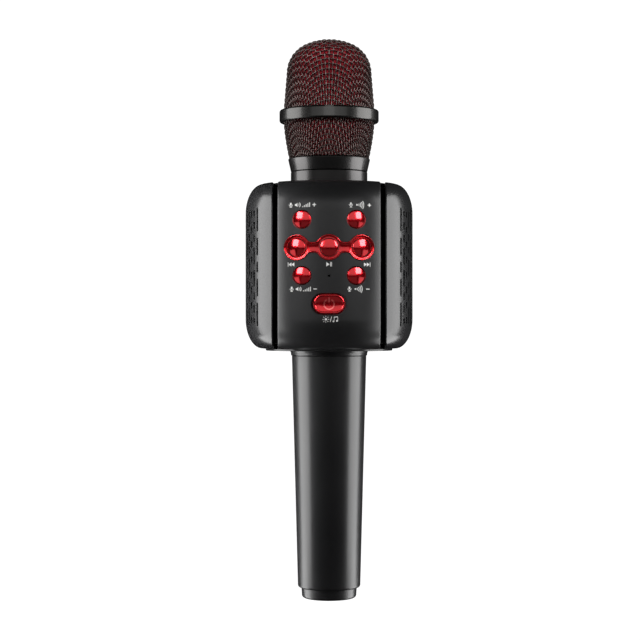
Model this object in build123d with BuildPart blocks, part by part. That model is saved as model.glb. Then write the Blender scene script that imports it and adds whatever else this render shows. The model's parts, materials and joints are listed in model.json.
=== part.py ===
"""Karaoke microphone: a speaker barrel on a tapered handle, with a screw-on mesh head.

Frame: millimetres, +Z up along the microphone's axis, the front panel faces -Y, and the
origin is the centre of the flat base that it stands on.
"""
from build123d import *
from math import atan2, cos, degrees, radians, sin, sqrt, tan
import os

os.makedirs("parts", exist_ok=True)

# ---------------------------------------------------------------- driving dimensions
# Heights along the axis
cap_height = 5.0             # visible height of the end cap
handle_length = 111.2        # handle tube, from the end cap to its collar
collar_height = 2.4          # flared collar between the handle and the barrel
plate_lip = 1.0              # rim of the bottom plate, seen below the covers
barrel_height = 78.4         # speaker barrel, over its covers
neck_ring_height = 6.2
neck_collar_height = 6.3
lower_mesh_height = 17.4
head_ring_height = 6.0
dome_height = 34.1           # upper mesh, from the head ring to its apex

# Outside radii
cap_base_radius = 13.0
cap_top_radius = 13.3
handle_bottom_radius = 14.98
handle_top_radius = 17.9
collar_low_radius = 18.3
collar_top_radius = 19.1
barrel_radius = 40.1
barrel_corner_run = 8.0      # the barrel's elliptical corners, across
barrel_corner_rise = 14.0    # and along the axis
neck_radius = 18.4
neck_collar_radius = 19.76
mesh_base_radius = 19.2
mesh_waist_radius = 20.9     # lower mesh at its middle height
mesh_ring_radius = 21.9      # both meshes at the head ring
head_ring_radius = 23.85
dome_taper_radius = 20.45    # upper mesh where its taper meets the shoulder
shoulder_radius = 15.0       # rounding between the taper and the crown
crown_radius = 28.0

# Walls and clearances
cover_wall = 2.0
handle_wall = 1.9
frame_wall = 1.6
mesh_wall = 0.9
cap_wall = 1.7
plate_wall = 2.4             # plugs of the two end plates
fit_gap = 0.15               # between pieces that are fixed to each other
seat_gap = 0.1
lift_gap = 0.3               # the head over the neck's spigot
running_gap = 0.25           # keys in their holes
thread_gap = 0.05            # screws in their pilot holes
cloth_wall = 0.3

# Barrel ends
plate_margin = 3.3           # from the flat of the barrel's end in to the end plates' plugs
plate_rim = 1.6              # how far the bottom plate's rim covers the covers' edge
side_cover_seat = 2.0         # least reach of the end plates under the side covers
frame_end_margin = 4.8       # from the plugs in to the openings in the frame's ends
bore_radius = 10.5           # way for the battery lead between handle and barrel

# Front panel and keys
panel_half_width = 23.9
groove_width = 2.1           # dark grooves between the panels and the side covers
key_radius = 4.0
media_key_radius = 4.1
volume_key_x = 12.5
volume_key_rise = 12.9       # volume and echo keys, above and below the media keys
media_key_x = 15.0
media_key_rise = 46.9        # above the covers' bottom, as the other rises are
power_key_rise = 20.9
power_key_length = 14.5
power_key_height = 9.0
power_recess_margin = 1.1
power_recess_depth = 0.8
key_proud = 0.9              # how far the key faces stand out of the panel
key_travel = 0.6
key_flange = 0.6             # how far a key's flange reaches under the panel
key_flange_wall = 0.9
key_stem_radius = 2.0
bezel_lobe_radius = 6.0
bezel_neck = 4.9
bezel_blend = 2.4
bezel_proud = 0.5
bezel_depth = 0.7
status_hole_radius = 0.6
status_hole_rise = 33.9

# Boards, switches and screws
board_wall = 1.6
board_half_width = 21.5
board_depth = 13.1           # the main board's face, in from the front of the panel
board_low_rise = 11.4
board_top_margin = 9.0       # below the barrel's top
switch_size = 6.0
switch_height = 2.6
switch_well_depth = 1.9
plunger_radius = 1.7
plunger_rise = 1.2
boss_radius = 2.7
boss_x = 18.5
boss_inset = 3.0             # in from the board's lower and upper edges
screw_radius = 1.05
screw_head_radius = 1.8
screw_head_height = 1.3
screw_grip = 4.0             # length of thread in a boss
rear_screw_azimuth = 27.5    # either side of the rear
rear_screw_head_radius = 2.3
collar_screw_circle = 13.0
collar_screw_length = 12.0
connector_size = 5.0
connector_depth = 3.0

# Speakers
speaker_gap = 0.5            # from the flange's face to where the frame's wall would meet its rim
speaker_flange_radius = 22.0
speaker_flange_wall = 1.6
speaker_screw_circle = 20.5
speaker_opening = 17.6
basket_wall = 1.0
basket_depth = 9.4
cone_radius = 14.8
cone_depth = 5.0
cone_wall = 0.5
cone_travel = 0.8
surround_gap = 0.4
surround_wall = 0.4
surround_rise = 1.0
pole_radius = 6.2
coil_gap = 0.4
coil_wall = 0.4
magnet_radius = 14.0
magnet_length = 6.2
yoke_wall = 1.6

# Slots in the side covers
slot_width = 1.3
slot_pitch = 4.4             # degrees between columns
slot_columns = 16
slot_drop = 0.8              # the slots' middle, below the speakers' axis
slot_patterns = [            # slot lengths up a column and the bridge between them, from the edge inwards
    ([11.3, 8.4, 5.2, 8.4, 11.3], 2.8),
    ([2.8, 3.6, 3.6, 8.0, 8.0, 3.6, 3.6, 2.8], 2.45),
    ([3.4, 3.4, 3.4, 3.4, 3.4, 3.4, 3.4, 3.4], 3.7),
    ([8.0, 3.4, 3.4, 8.0, 3.4, 3.4, 8.0], 2.6),
]

# Battery
cell_radius = 9.2
cell_foot_room = 24.0         # from the handle's low end up to the cell
cell_head_room = 22.2         # and from the cell to the handle's high end
cell_nub_radius = 3.0
cell_nub_height = 1.0
cradle_gap = 0.18             # between the cradle and the handle's narrowest bore
cradle_end = 2.8

# Capsule and its stand
stand_base_radius = 12.4
stand_base_height = 3.0
stand_base_z = 2.0           # above the barrel's top
stand_post_radius = 6.0
stand_post_height = 23.0
stand_bore_radius = 2.2
cup_wall = 1.2
cup_depth = 8.6
cup_floor = 1.6
capsule_radius = 6.5
capsule_length = 10.5
cushion_wall = 1.4
light_board_radius = 15.0
light_board_bore = 9.8
led_radius = 0.9
led_circle = 13.6
led_count = 8
spigot_radius = 15.9
spigot_height = 4.8
spigot_bore = 12.6
foam_gap = 0.3
foam_bore = 10.5
foam_hollow_height = 32.0

# Rear sockets
port_board_depth = 14.1      # the port board's inner face, in from the rear of the panel
port_board_wall = 1.2
port_board_half_width = 15.0
port_board_half_height = 10.5
port_screw_x = 12.0
port_screw_rise = 7.5
socket_rise = 19.4
socket_inset = 0.8           # mouths of the sockets below the barrel's radius
aux_x = -6.5
aux_bore_radius = 1.8
aux_nose_radius = 3.0
aux_bore_depth = 12.0
aux_body = 8.0
aux_nose_length = 3.3
charging_x = 6.5
charging_width = 9.0
charging_height = 3.2
charging_wall = 0.35
charging_tongue_width = 6.2
charging_tongue_height = 0.7

# ---------------------------------------------------------------- derived places
handle_low_z = cap_height
handle_high_z = handle_low_z + handle_length
cell_low_z = handle_low_z + cell_foot_room
cell_length = handle_length - cell_foot_room - cell_head_room
cradle_radius = handle_bottom_radius - handle_wall - cradle_gap
plate_z = handle_high_z + collar_height
barrel_low_z = plate_z + plate_lip
barrel_high_z = barrel_low_z + barrel_height
neck_high_z = barrel_high_z + neck_ring_height
mesh_low_z = neck_high_z + neck_collar_height
ring_low_z = mesh_low_z + lower_mesh_height
ring_high_z = ring_low_z + head_ring_height
apex_z = ring_high_z + dome_height
crown_z = apex_z - crown_radius
shoulder_r = dome_taper_radius - shoulder_radius
shoulder_z = crown_z + sqrt((crown_radius - shoulder_radius) ** 2 - shoulder_r**2)
corner_low_z = barrel_low_z + barrel_corner_rise
corner_high_z = barrel_high_z - barrel_corner_rise
groove_outer_x = panel_half_width + groove_width
plate_plug_radius = max(barrel_radius - barrel_corner_run - plate_margin, groove_outer_x + side_cover_seat)
plate_rim_radius = plate_plug_radius + plate_rim
frame_end_radius = plate_plug_radius - frame_end_margin
cover_opening = plate_plug_radius + fit_gap
frame_inset = cover_wall + cloth_wall + 2 * seat_gap
frame_inner_radius = barrel_radius - frame_inset - frame_wall
speaker_z = barrel_low_z + barrel_height / 2
speaker_x = sqrt(frame_inner_radius**2 - speaker_flange_radius**2) - speaker_gap
slot_centre_z = speaker_z - slot_drop
media_key_z = barrel_low_z + media_key_rise
power_key_z = barrel_low_z + power_key_rise
status_hole_z = barrel_low_z + status_hole_rise
board_y = board_depth - barrel_radius
board_low_z = barrel_low_z + board_low_rise
board_high_z = barrel_high_z - board_top_margin
socket_z = barrel_low_z + socket_rise
port_board_y = barrel_radius - port_board_depth
board_back_y = board_y + board_wall
switch_y = board_y - switch_height
plunger_y = switch_y - plunger_rise
boss_places = [(x, z) for x in (-boss_x, boss_x) for z in (board_low_z + boss_inset, board_high_z - boss_inset)]
port_face_y = port_board_y + port_board_wall
socket_mouth_y = barrel_radius - socket_inset
port_screw_places = [(-port_screw_x, socket_z + port_screw_rise), (port_screw_x, socket_z + port_screw_rise)]
volume_high_z = media_key_z + volume_key_rise
volume_low_z = media_key_z - volume_key_rise
round_keys = {
    "mic_up_key": (-volume_key_x, volume_high_z, key_radius),
    "echo_up_key": (volume_key_x, volume_high_z, key_radius),
    "previous_key": (-media_key_x, media_key_z, media_key_radius),
    "play_key": (0, media_key_z, media_key_radius),
    "next_key": (media_key_x, media_key_z, media_key_radius),
    "mic_down_key": (-volume_key_x, volume_low_z, key_radius),
    "echo_down_key": (volume_key_x, volume_low_z, key_radius),
}


# ---------------------------------------------------------------- helpers
def save(piece, label):
    """Label a finished sub-part and write its STEP file."""
    piece.label = label
    export_step(piece, f"parts/{label}.step")


def front_plane(y):
    """A sketch plane at a place along Y that faces the front, with x to the right and y up."""
    return Plane.XZ.offset(-y)


def rear_plane(y):
    """A sketch plane at a place along Y that faces the rear, with y up."""
    return Plane(origin=(0, y, 0), x_dir=(-1, 0, 0), z_dir=(0, 1, 0))


def radial_plane(azimuth, radius, z):
    """A sketch plane that faces out of the barrel at an azimuth from +X, with y up."""
    a = radians(azimuth)
    return Plane(origin=(radius * cos(a), radius * sin(a), z), x_dir=(-sin(a), cos(a), 0), z_dir=(cos(a), sin(a), 0))


def turned(points):
    """A solid turned about the axis from a closed outline of (radius, height) points."""
    with BuildPart() as piece:
        with BuildSketch(Plane.XZ):
            with BuildLine():
                Polyline(*points, close=True)
            make_face()
        revolve(axis=Axis.Z)
    return piece.part


def tube(outer, inner, low_z, high_z):
    """An upright tube on the axis."""
    return turned([(inner, low_z), (outer, low_z), (outer, high_z), (inner, high_z)])


def turned_about_speaker(points):
    """A solid turned about the right speaker's axis from (x, radius) points."""
    with BuildPart() as piece:
        with BuildSketch(Plane.XZ):
            with BuildLine():
                Polyline(*[(x, speaker_z + r) for x, r in points], close=True)
            make_face()
        revolve(axis=Axis((0, 0, speaker_z), (1, 0, 0)))
    return piece.part


def barrel_form(inset):
    """The barrel's full solid, drawn in by a distance (or out, where it is negative)."""
    run = barrel_corner_run - inset
    rise = barrel_corner_rise - inset
    radius = barrel_radius - inset
    with BuildPart() as form:
        with BuildSketch(Plane.XZ):
            with BuildLine():
                Line((0, barrel_low_z + inset), (radius - run, barrel_low_z + inset))
                EllipticalCenterArc((radius - run, corner_low_z), run, rise, -90, arc_size=90)
                Line((radius, corner_low_z), (radius, corner_high_z))
                EllipticalCenterArc((radius - run, corner_high_z), run, rise, 0, arc_size=90)
                Line((radius - run, barrel_high_z - inset), (0, barrel_high_z - inset))
                Line((0, barrel_high_z - inset), (0, barrel_low_z + inset))
            make_face()
        revolve(axis=Axis.Z)
    return form.part


def barrel_shell(outer_inset, inner_inset, end_radius):
    """The shell between two insets of the barrel's form, with round openings in its ends."""
    with BuildPart() as shell:
        add(barrel_form(outer_inset))
        add(barrel_form(inner_inset), mode=Mode.SUBTRACT)
        with Locations((0, 0, barrel_low_z + barrel_height / 2)):
            Cylinder(end_radius, barrel_height + plate_lip, mode=Mode.SUBTRACT)
    return shell.part


def panel_cut(half_width, side):
    """The block that holds a front (-1) or rear (1) panel: its part of the barrel's width."""
    with BuildPart() as block:
        with Locations((0, side * barrel_radius, barrel_low_z + barrel_height / 2)):
            Box(2 * half_width, 2 * barrel_radius, barrel_height + plate_lip)
    return block.part


def surface_y(x, inset):
    """Distance from the middle plane to the barrel's form at a place across it."""
    return sqrt((barrel_radius - inset) ** 2 - x**2)


def bosses(places, face_y, plane, radius):
    """Posts from a board's face out to the wall of the covers."""
    with BuildPart() as posts:
        with BuildSketch(plane):
            with Locations(*places):
                Circle(radius)
        extrude(amount=barrel_radius - abs(face_y))
        add(barrel_form(cover_wall / 2), mode=Mode.INTERSECT)
    return posts.part


def screw_group(plane, places, head_radius, grip):
    """Pan-head screws whose heads stand on a plane and whose shanks run down behind it."""
    with BuildPart() as screws:
        with BuildSketch(plane):
            with Locations(*places):
                Circle(head_radius)
        extrude(amount=screw_head_height)
        with BuildSketch(plane):
            with Locations(*places):
                Circle(screw_radius)
        extrude(amount=-grip)
    return screws.part


def lead(label, diameter, points):
    """A wire of straight runs joined by tangent arcs, each as large as its runs allow."""
    corners = [Vector(*p) for p in points]
    radii = []
    for before, corner, after in zip(corners, corners[1:], corners[2:]):
        arriving = corner - before
        leaving = after - corner
        half_turn = radians(arriving.get_angle(leaving)) / 2
        radii.append(0.45 * min(arriving.length, leaving.length) / tan(half_turn))
    print(label, "arc radii, mm:", [round(r, 1) for r in radii])
    with BuildPart() as wire:
        with BuildLine():
            FilletPolyline(*points, radius=radii)
        with BuildSketch(Plane(origin=corners[0], z_dir=corners[1] - corners[0])):
            Circle(diameter / 2)
        sweep()
    return wire.part


# ---------------------------------------------------------------- handle
spigot_wall_radius = handle_bottom_radius - handle_wall - fit_gap
end_spigot_height = 7.0
end_floor = 3.0
with BuildPart() as end_cap:
    add(turned([
        (0, 0),
        (cap_base_radius, 0),
        (cap_top_radius, cap_height),
        (spigot_wall_radius, cap_height),
        (spigot_wall_radius, cap_height + end_spigot_height),
        (spigot_wall_radius - cap_wall, cap_height + end_spigot_height),
        (spigot_wall_radius - cap_wall, end_floor),
        (0, end_floor),
    ]))
    fillet(end_cap.faces().sort_by(Axis.Z)[0].edges(), radius=1.4)
save(end_cap.part, "end_cap")

with BuildPart() as handle_tube:
    add(turned([
        (handle_bottom_radius - handle_wall, handle_low_z),
        (handle_bottom_radius, handle_low_z),
        (handle_top_radius, handle_high_z),
        (handle_top_radius - handle_wall, handle_high_z),
    ]))
    fillet(handle_tube.faces().sort_by(Axis.Z)[0].outer_wire().edges(), radius=1.2)
save(handle_tube.part, "handle_tube")

collar_sleeve_depth = 10.0
sleeve_narrowing = (handle_top_radius - handle_bottom_radius) * collar_sleeve_depth / handle_length
sleeve_radius = handle_top_radius - handle_wall - fit_gap - sleeve_narrowing
with BuildPart() as handle_collar:
    with BuildSketch(Plane.XZ):
        with BuildLine():
            Polyline(
                (collar_top_radius, plate_z),
                (bore_radius, plate_z),
                (bore_radius, handle_high_z - collar_sleeve_depth),
                (sleeve_radius, handle_high_z - collar_sleeve_depth),
                (sleeve_radius, handle_high_z),
                (collar_low_radius, handle_high_z),
            )
            flare_bend = ((collar_low_radius * 3 + collar_top_radius) / 4, (handle_high_z + plate_z) / 2)
            ThreePointArc((collar_low_radius, handle_high_z), flare_bend, (collar_top_radius, plate_z))
        make_face()
    revolve(axis=Axis.Z)
    with BuildSketch(Plane.XY.offset(plate_z)):
        with PolarLocations(collar_screw_circle, 3):
            Circle(screw_radius + thread_gap)
    extrude(amount=-collar_screw_length, mode=Mode.SUBTRACT)
save(handle_collar.part, "handle_collar")

with BuildPart() as battery_cell:
    with BuildSketch(Plane.XY.offset(cell_low_z)):
        Circle(cell_radius)
    extrude(amount=cell_length - cell_nub_height)
    with BuildSketch(battery_cell.faces().sort_by(Axis.Z)[-1]):
        Circle(cell_nub_radius)
    extrude(amount=cell_nub_height)
save(battery_cell.part, "battery_cell")

with BuildPart() as battery_cradle:
    with BuildSketch(Plane.XY.offset(cell_low_z - cradle_end)):
        Circle(cradle_radius)
        with Locations((0, -cradle_radius)):
            Rectangle(2 * cradle_radius, 2 * cradle_radius - 2, mode=Mode.SUBTRACT)
    extrude(amount=cell_length + 2 * cradle_end)
    with BuildSketch(Plane.XY.offset(cell_low_z - seat_gap)):
        Circle(cell_radius + fit_gap)
    extrude(amount=cell_length + 2 * seat_gap, mode=Mode.SUBTRACT)
save(battery_cradle.part, "battery_cradle")

# ---------------------------------------------------------------- barrel ends and neck
with BuildPart() as bottom_cap:
    add(turned([
        (bore_radius, plate_z),
        (plate_rim_radius, plate_z),
        (plate_rim_radius, barrel_low_z),
        (plate_plug_radius, barrel_low_z),
        (plate_plug_radius, barrel_low_z + plate_wall),
        (bore_radius, barrel_low_z + plate_wall),
    ]))
    with BuildSketch(Plane.XY.offset(plate_z)):
        with PolarLocations(collar_screw_circle, 3):
            Circle(screw_radius + fit_gap)
    extrude(amount=plate_lip + plate_wall, mode=Mode.SUBTRACT)
save(bottom_cap.part, "bottom_cap")

with BuildPart() as collar_screws:
    with BuildSketch(Plane.XY.offset(barrel_low_z + plate_wall)):
        with PolarLocations(collar_screw_circle, 3):
            Circle(screw_head_radius)
    extrude(amount=screw_head_height)
    with BuildSketch(Plane.XY.offset(barrel_low_z + plate_wall)):
        with PolarLocations(collar_screw_circle, 3):
            Circle(screw_radius)
    extrude(amount=-collar_screw_length)
save(collar_screws.part, "collar_screws")

neck_plug_radius = neck_radius - 1
save(tube(plate_plug_radius, neck_plug_radius + fit_gap, barrel_high_z - plate_wall, barrel_high_z), "top_cap")

ledge_width = 1.0
stand_low_z = barrel_high_z + stand_base_z
spigot_high_z = neck_high_z + spigot_height
save(turned([
    (spigot_bore - ledge_width, barrel_high_z - plate_wall),
    (neck_plug_radius, barrel_high_z - plate_wall),
    (neck_plug_radius, barrel_high_z),
    (neck_radius, barrel_high_z),
    (neck_radius, neck_high_z),
    (spigot_radius, neck_high_z),
    (spigot_radius, spigot_high_z),
    (spigot_bore, spigot_high_z),
    (spigot_bore, stand_low_z),
    (spigot_bore - ledge_width, stand_low_z),
]), "neck_ring")

# ---------------------------------------------------------------- capsule on its stand
post_high_z = stand_low_z + stand_base_height + stand_post_height
cup_inner_radius = capsule_radius + cushion_wall + 2 * seat_gap
cup_radius = cup_inner_radius + cup_wall
cup_high_z = post_high_z + cup_floor + cup_depth
light_lead_x = 4.5
light_lead_y = -8.9
with BuildPart() as capsule_stand:
    add(turned([
        (stand_bore_radius, stand_low_z),
        (stand_base_radius, stand_low_z),
        (stand_base_radius, stand_low_z + stand_base_height),
        (stand_post_radius, stand_low_z + stand_base_height),
        (stand_post_radius, post_high_z),
        (cup_radius, post_high_z),
        (cup_radius, cup_high_z),
        (cup_inner_radius, cup_high_z),
        (cup_inner_radius, post_high_z + cup_floor),
        (stand_bore_radius, post_high_z + cup_floor),
    ]))
    with BuildSketch(Plane.XY.offset(stand_low_z)):
        with Locations((light_lead_x, light_lead_y)):
            Circle(1.2)
    extrude(amount=stand_base_height, mode=Mode.SUBTRACT)
save(capsule_stand.part, "capsule_stand")

cushion_radius = cup_inner_radius - seat_gap
cushion_low_z = post_high_z + cup_floor
cushion_floor = 1.3
save(turned([
    (stand_bore_radius + 1, cushion_low_z),
    (cushion_radius, cushion_low_z),
    (cushion_radius, cushion_low_z + cup_depth),
    (capsule_radius + seat_gap, cushion_low_z + cup_depth),
    (capsule_radius + seat_gap, cushion_low_z + cushion_floor),
    (stand_bore_radius + 1, cushion_low_z + cushion_floor),
]), "capsule_cushion")

capsule_low_z = cushion_low_z + cushion_floor
with BuildPart() as capsule:
    with BuildSketch(Plane.XY.offset(capsule_low_z)):
        Circle(capsule_radius)
    extrude(amount=capsule_length)
    fillet(capsule.faces().sort_by(Axis.Z)[-1].edges(), radius=0.6)
save(capsule.part, "capsule")

light_low_z = spigot_high_z
light_board_wall = 1.2
save(tube(light_board_radius, light_board_bore, light_low_z, light_low_z + light_board_wall), "light_board")

with BuildPart() as light_leds:
    with BuildSketch(Plane.XY.offset(light_low_z + light_board_wall)):
        with PolarLocations(led_circle, led_count):
            Circle(led_radius)
    extrude(amount=1.2)
save(light_leds.part, "light_leds")

# ---------------------------------------------------------------- head
mesh_seat_radius = mesh_base_radius - 1.6
collar_lip = 0.5
save(turned([
    (spigot_radius + lift_gap, neck_high_z),
    (neck_radius - seat_gap, neck_high_z),
    (neck_collar_radius, mesh_low_z),
    (mesh_seat_radius, mesh_low_z),
    (mesh_seat_radius, mesh_low_z + collar_lip),
    (spigot_radius + lift_gap, mesh_low_z + collar_lip),
]), "neck_collar")


def mesh_skirt(inset, low_z):
    """The lower mesh's full form, drawn in by a distance, from a height up to the head ring."""
    with BuildPart() as skirt:
        with BuildSketch(Plane.XZ):
            with BuildLine():
                ThreePointArc(
                    (mesh_base_radius - inset, low_z),
                    (mesh_waist_radius - inset, (low_z + ring_low_z) / 2),
                    (mesh_ring_radius - inset, ring_low_z),
                )
                Polyline(
                    (mesh_ring_radius - inset, ring_low_z),
                    (0, ring_low_z),
                    (0, low_z),
                    (mesh_base_radius - inset, low_z),
                )
            make_face()
        revolve(axis=Axis.Z)
    return skirt.part


def mesh_dome(inset):
    """The upper mesh's full form above the head ring, drawn in by a distance."""
    blend_angle = degrees(atan2(shoulder_z - crown_z, shoulder_r))
    with BuildPart() as dome:
        with BuildSketch(Plane.XZ):
            with BuildLine():
                Line((0, ring_high_z), (mesh_ring_radius - inset, ring_high_z))
                Line((mesh_ring_radius - inset, ring_high_z), (dome_taper_radius - inset, shoulder_z))
                CenterArc((shoulder_r, shoulder_z), shoulder_radius - inset, 0, blend_angle)
                CenterArc((0, crown_z), crown_radius - inset, blend_angle, 90 - blend_angle)
                Line((0, apex_z - inset), (0, ring_high_z))
            make_face()
        revolve(axis=Axis.Z)
    return dome.part


with BuildPart() as lower_mesh:
    add(mesh_skirt(0, mesh_low_z))
    add(mesh_skirt(mesh_wall, mesh_low_z), mode=Mode.SUBTRACT)
save(lower_mesh.part, "lower_mesh")

ring_bore = mesh_ring_radius - mesh_wall - 0.4
notch_width = 4.0
notch_depth = 0.8
with BuildPart() as head_ring:
    add(tube(head_ring_radius, ring_bore, ring_low_z, ring_high_z))
    rims = head_ring.edges().filter_by(GeomType.CIRCLE).group_by(lambda e: e.radius)[-1]
    fillet(rims, radius=1.0)
    with Locations((0, -head_ring_radius, ring_high_z)):
        Box(notch_width, notch_width / 2, 2 * notch_depth, mode=Mode.SUBTRACT)
save(head_ring.part, "head_ring")

with BuildPart() as upper_mesh:
    add(mesh_dome(0))
    add(mesh_dome(mesh_wall), mode=Mode.SUBTRACT)
save(upper_mesh.part, "upper_mesh")

foam_inset = mesh_wall + foam_gap
foam_low_z = mesh_low_z + collar_lip
foam_foot_height = 1.8
with BuildPart() as foam_windscreen:
    add(mesh_skirt(foam_inset, foam_low_z))
    add(tube(ring_bore - foam_gap, foam_bore, ring_low_z, ring_high_z))
    add(mesh_dome(foam_inset))
    with Locations((0, 0, foam_low_z)):
        Cylinder(foam_bore, foam_hollow_height, align=(Align.CENTER, Align.CENTER, Align.MIN), mode=Mode.SUBTRACT)
        Cylinder(
            light_board_radius + 0.5,
            foam_foot_height,
            align=(Align.CENTER, Align.CENTER, Align.MIN),
            mode=Mode.SUBTRACT,
        )
save(foam_windscreen.part, "foam_windscreen")


# ---------------------------------------------------------------- front cover, bezel and keys
def bezel_outline(margin):
    """The media keys' three-lobed outline, grown by a margin."""
    with BuildSketch() as outline:
        with Locations((-media_key_x, media_key_z), (0, media_key_z), (media_key_x, media_key_z)):
            Circle(bezel_lobe_radius)
        with Locations((0, media_key_z)):
            Rectangle(2 * media_key_x, bezel_neck)
        corners = outline.vertices().filter_by(lambda v: abs(abs(v.Y - media_key_z) - bezel_neck / 2) < 0.01)
        fillet(corners, radius=bezel_blend)
        offset(amount=margin)
    return outline.sketch


def panel_block(outline, inset):
    """The part of an outline's prism that stands outside an inset of the barrel's form."""
    with BuildPart() as block:
        with BuildSketch(front_plane(board_y)):
            add(outline)
        extrude(amount=barrel_radius)
        add(barrel_form(inset), mode=Mode.SUBTRACT)
    return block.part


with BuildSketch() as power_recess:
    with Locations((0, power_key_z)):
        SlotOverall(power_key_length + 2 * power_recess_margin, power_key_height + 1.2)

with BuildSketch() as key_holes:
    for x, z, radius in round_keys.values():
        with Locations((x, z)):
            Circle(radius + running_gap)
    with Locations((0, power_key_z)):
        SlotOverall(power_key_length + 2 * running_gap, power_key_height + 2 * running_gap)
    with Locations((0, status_hole_z)):
        Circle(status_hole_radius)

with BuildPart() as front_cover:
    add(barrel_shell(0, cover_wall, cover_opening))
    add(panel_cut(panel_half_width, -1), mode=Mode.INTERSECT)
    add(bosses(boss_places, board_y, front_plane(board_y), boss_radius))
    add(panel_block(bezel_outline(seat_gap), bezel_depth), mode=Mode.SUBTRACT)
    add(panel_block(power_recess.sketch, power_recess_depth), mode=Mode.SUBTRACT)
    with BuildSketch(front_plane(board_y)):
        add(key_holes.sketch)
    extrude(amount=barrel_radius, mode=Mode.SUBTRACT)
    with BuildSketch(front_plane(board_y)):
        with Locations(*boss_places):
            Circle(screw_radius + thread_gap)
    extrude(amount=screw_grip, mode=Mode.SUBTRACT)
save(front_cover.part, "front_cover")

with BuildPart() as media_bezel:
    add(panel_block(bezel_outline(0), bezel_depth))
    add(barrel_form(-bezel_proud), mode=Mode.INTERSECT)
    with BuildSketch(front_plane(board_y)):
        with Locations((-media_key_x, media_key_z), (0, media_key_z), (media_key_x, media_key_z)):
            Circle(media_key_radius + running_gap)
    extrude(amount=barrel_radius, mode=Mode.SUBTRACT)
save(media_bezel.part, "media_bezel")


def key(label, cap_outline, flange_outline, x, z, half_width):
    """A key cap with its flange and stem, and the switch plunger that it rests on."""
    flange_y = -surface_y(abs(x) + half_width + key_flange, cover_wall) + lift_gap
    with BuildPart() as cap:
        with BuildSketch(front_plane(flange_y)):
            add(cap_outline)
        extrude(amount=barrel_radius)
        add(barrel_form(-key_proud), mode=Mode.INTERSECT)
        with BuildSketch(front_plane(flange_y + key_flange_wall)):
            add(flange_outline)
        extrude(amount=key_flange_wall)
        with BuildSketch(front_plane(plunger_y)):
            with Locations((x, z)):
                Circle(key_stem_radius)
        extrude(amount=plunger_y - flange_y - key_flange_wall)
    with BuildPart() as plunger:
        with BuildSketch(front_plane(plunger_y)):
            with Locations((x, z)):
                Circle(plunger_radius)
        extrude(amount=-(plunger_rise + switch_well_depth - key_travel - lift_gap))
    save(Compound([cap.part.solid(), plunger.part.solid()]), label)


for key_name, (key_x, key_z, radius) in round_keys.items():
    with BuildSketch() as cap_outline:
        with Locations((key_x, key_z)):
            Circle(radius)
    with BuildSketch() as flange_outline:
        with Locations((key_x, key_z)):
            Circle(radius + key_flange)
    key(key_name, cap_outline.sketch, flange_outline.sketch, key_x, key_z, radius)

with BuildSketch() as power_outline:
    with Locations((0, power_key_z)):
        SlotOverall(power_key_length, power_key_height)
with BuildSketch() as power_flange:
    with Locations((0, power_key_z)):
        SlotOverall(power_key_length + 2 * key_flange, power_key_height + 2 * key_flange)
key("power_key", power_outline.sketch, power_flange.sketch, 0, power_key_z, power_key_length / 2)

switch_places = [(x, z) for x, z, radius in round_keys.values()] + [(0, power_key_z)]
with BuildPart() as key_switches:
    with BuildSketch(front_plane(board_y)):
        with Locations(*switch_places):
            Rectangle(switch_size, switch_size)
    extrude(amount=switch_height)
    with BuildSketch(front_plane(switch_y)):
        with Locations(*switch_places):
            Circle(plunger_radius + running_gap)
    extrude(amount=-switch_well_depth, mode=Mode.SUBTRACT)
save(key_switches.part, "key_switches")

# ---------------------------------------------------------------- main board
with BuildPart() as main_board:
    with BuildSketch(front_plane(board_back_y)):
        with Locations((0, (board_low_z + board_high_z) / 2)):
            Rectangle(2 * board_half_width, board_high_z - board_low_z)
        with Locations(*boss_places):
            Circle(screw_radius + fit_gap, mode=Mode.SUBTRACT)
    extrude(amount=board_wall)
save(main_board.part, "main_board")

save(screw_group(rear_plane(board_back_y), [(-x, z) for x, z in boss_places], screw_head_radius, screw_grip),
     "board_screws")

battery_plug = (0, board_low_z + 10.5)
port_plug = (-8.0, board_low_z + 8.0)
speaker_plug_x = 13.0
speaker_plug_z = board_low_z + 17.0
head_plug_x = 5.0
head_plug_z = board_high_z - 11.5
plug_y = board_back_y + connector_depth / 2
chip_height = 1.3
capacitor_radius = 3.0
capacitor_length = 6.0
back_plane = rear_plane(board_back_y)
with BuildPart() as board_parts:
    with BuildSketch(back_plane):
        with Locations(battery_plug, (-port_plug[0], port_plug[1])):
            Rectangle(connector_size, connector_size)
        with Locations((-speaker_plug_x, speaker_plug_z), (speaker_plug_x, speaker_plug_z)):
            Rectangle(connector_size, connector_size)
        with Locations((-head_plug_x, head_plug_z), (head_plug_x, head_plug_z)):
            Rectangle(connector_size, connector_size)
    extrude(amount=connector_depth)
    with BuildSketch(back_plane):
        with Locations((0, speaker_plug_z + 13.0), (0, speaker_plug_z + 21.5)):
            Rectangle(9.0, 6.5)
        with Locations((-14.0, speaker_plug_z + 20.0)):
            Rectangle(8.0, 12.0)
    extrude(amount=chip_height)
    with BuildSketch(back_plane):
        with Locations((-5.0, speaker_plug_z + 3.5), (5.0, speaker_plug_z + 3.5), (13.0, speaker_plug_z + 18.0)):
            Circle(capacitor_radius)
    extrude(amount=capacitor_length)
    with BuildSketch(front_plane(board_y)):
        with Locations((0, status_hole_z)):
            Rectangle(1.6, 2.4)
    extrude(amount=1.0)
save(board_parts.part, "board_parts")

with BuildPart() as status_light_pipe:
    with BuildSketch(front_plane(board_y - 1.0 - seat_gap)):
        with Locations((0, status_hole_z)):
            Circle(status_hole_radius - thread_gap)
    extrude(amount=barrel_radius + board_y - 1.0 - 2 * seat_gap)
save(status_light_pipe.part, "status_light_pipe")

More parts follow.
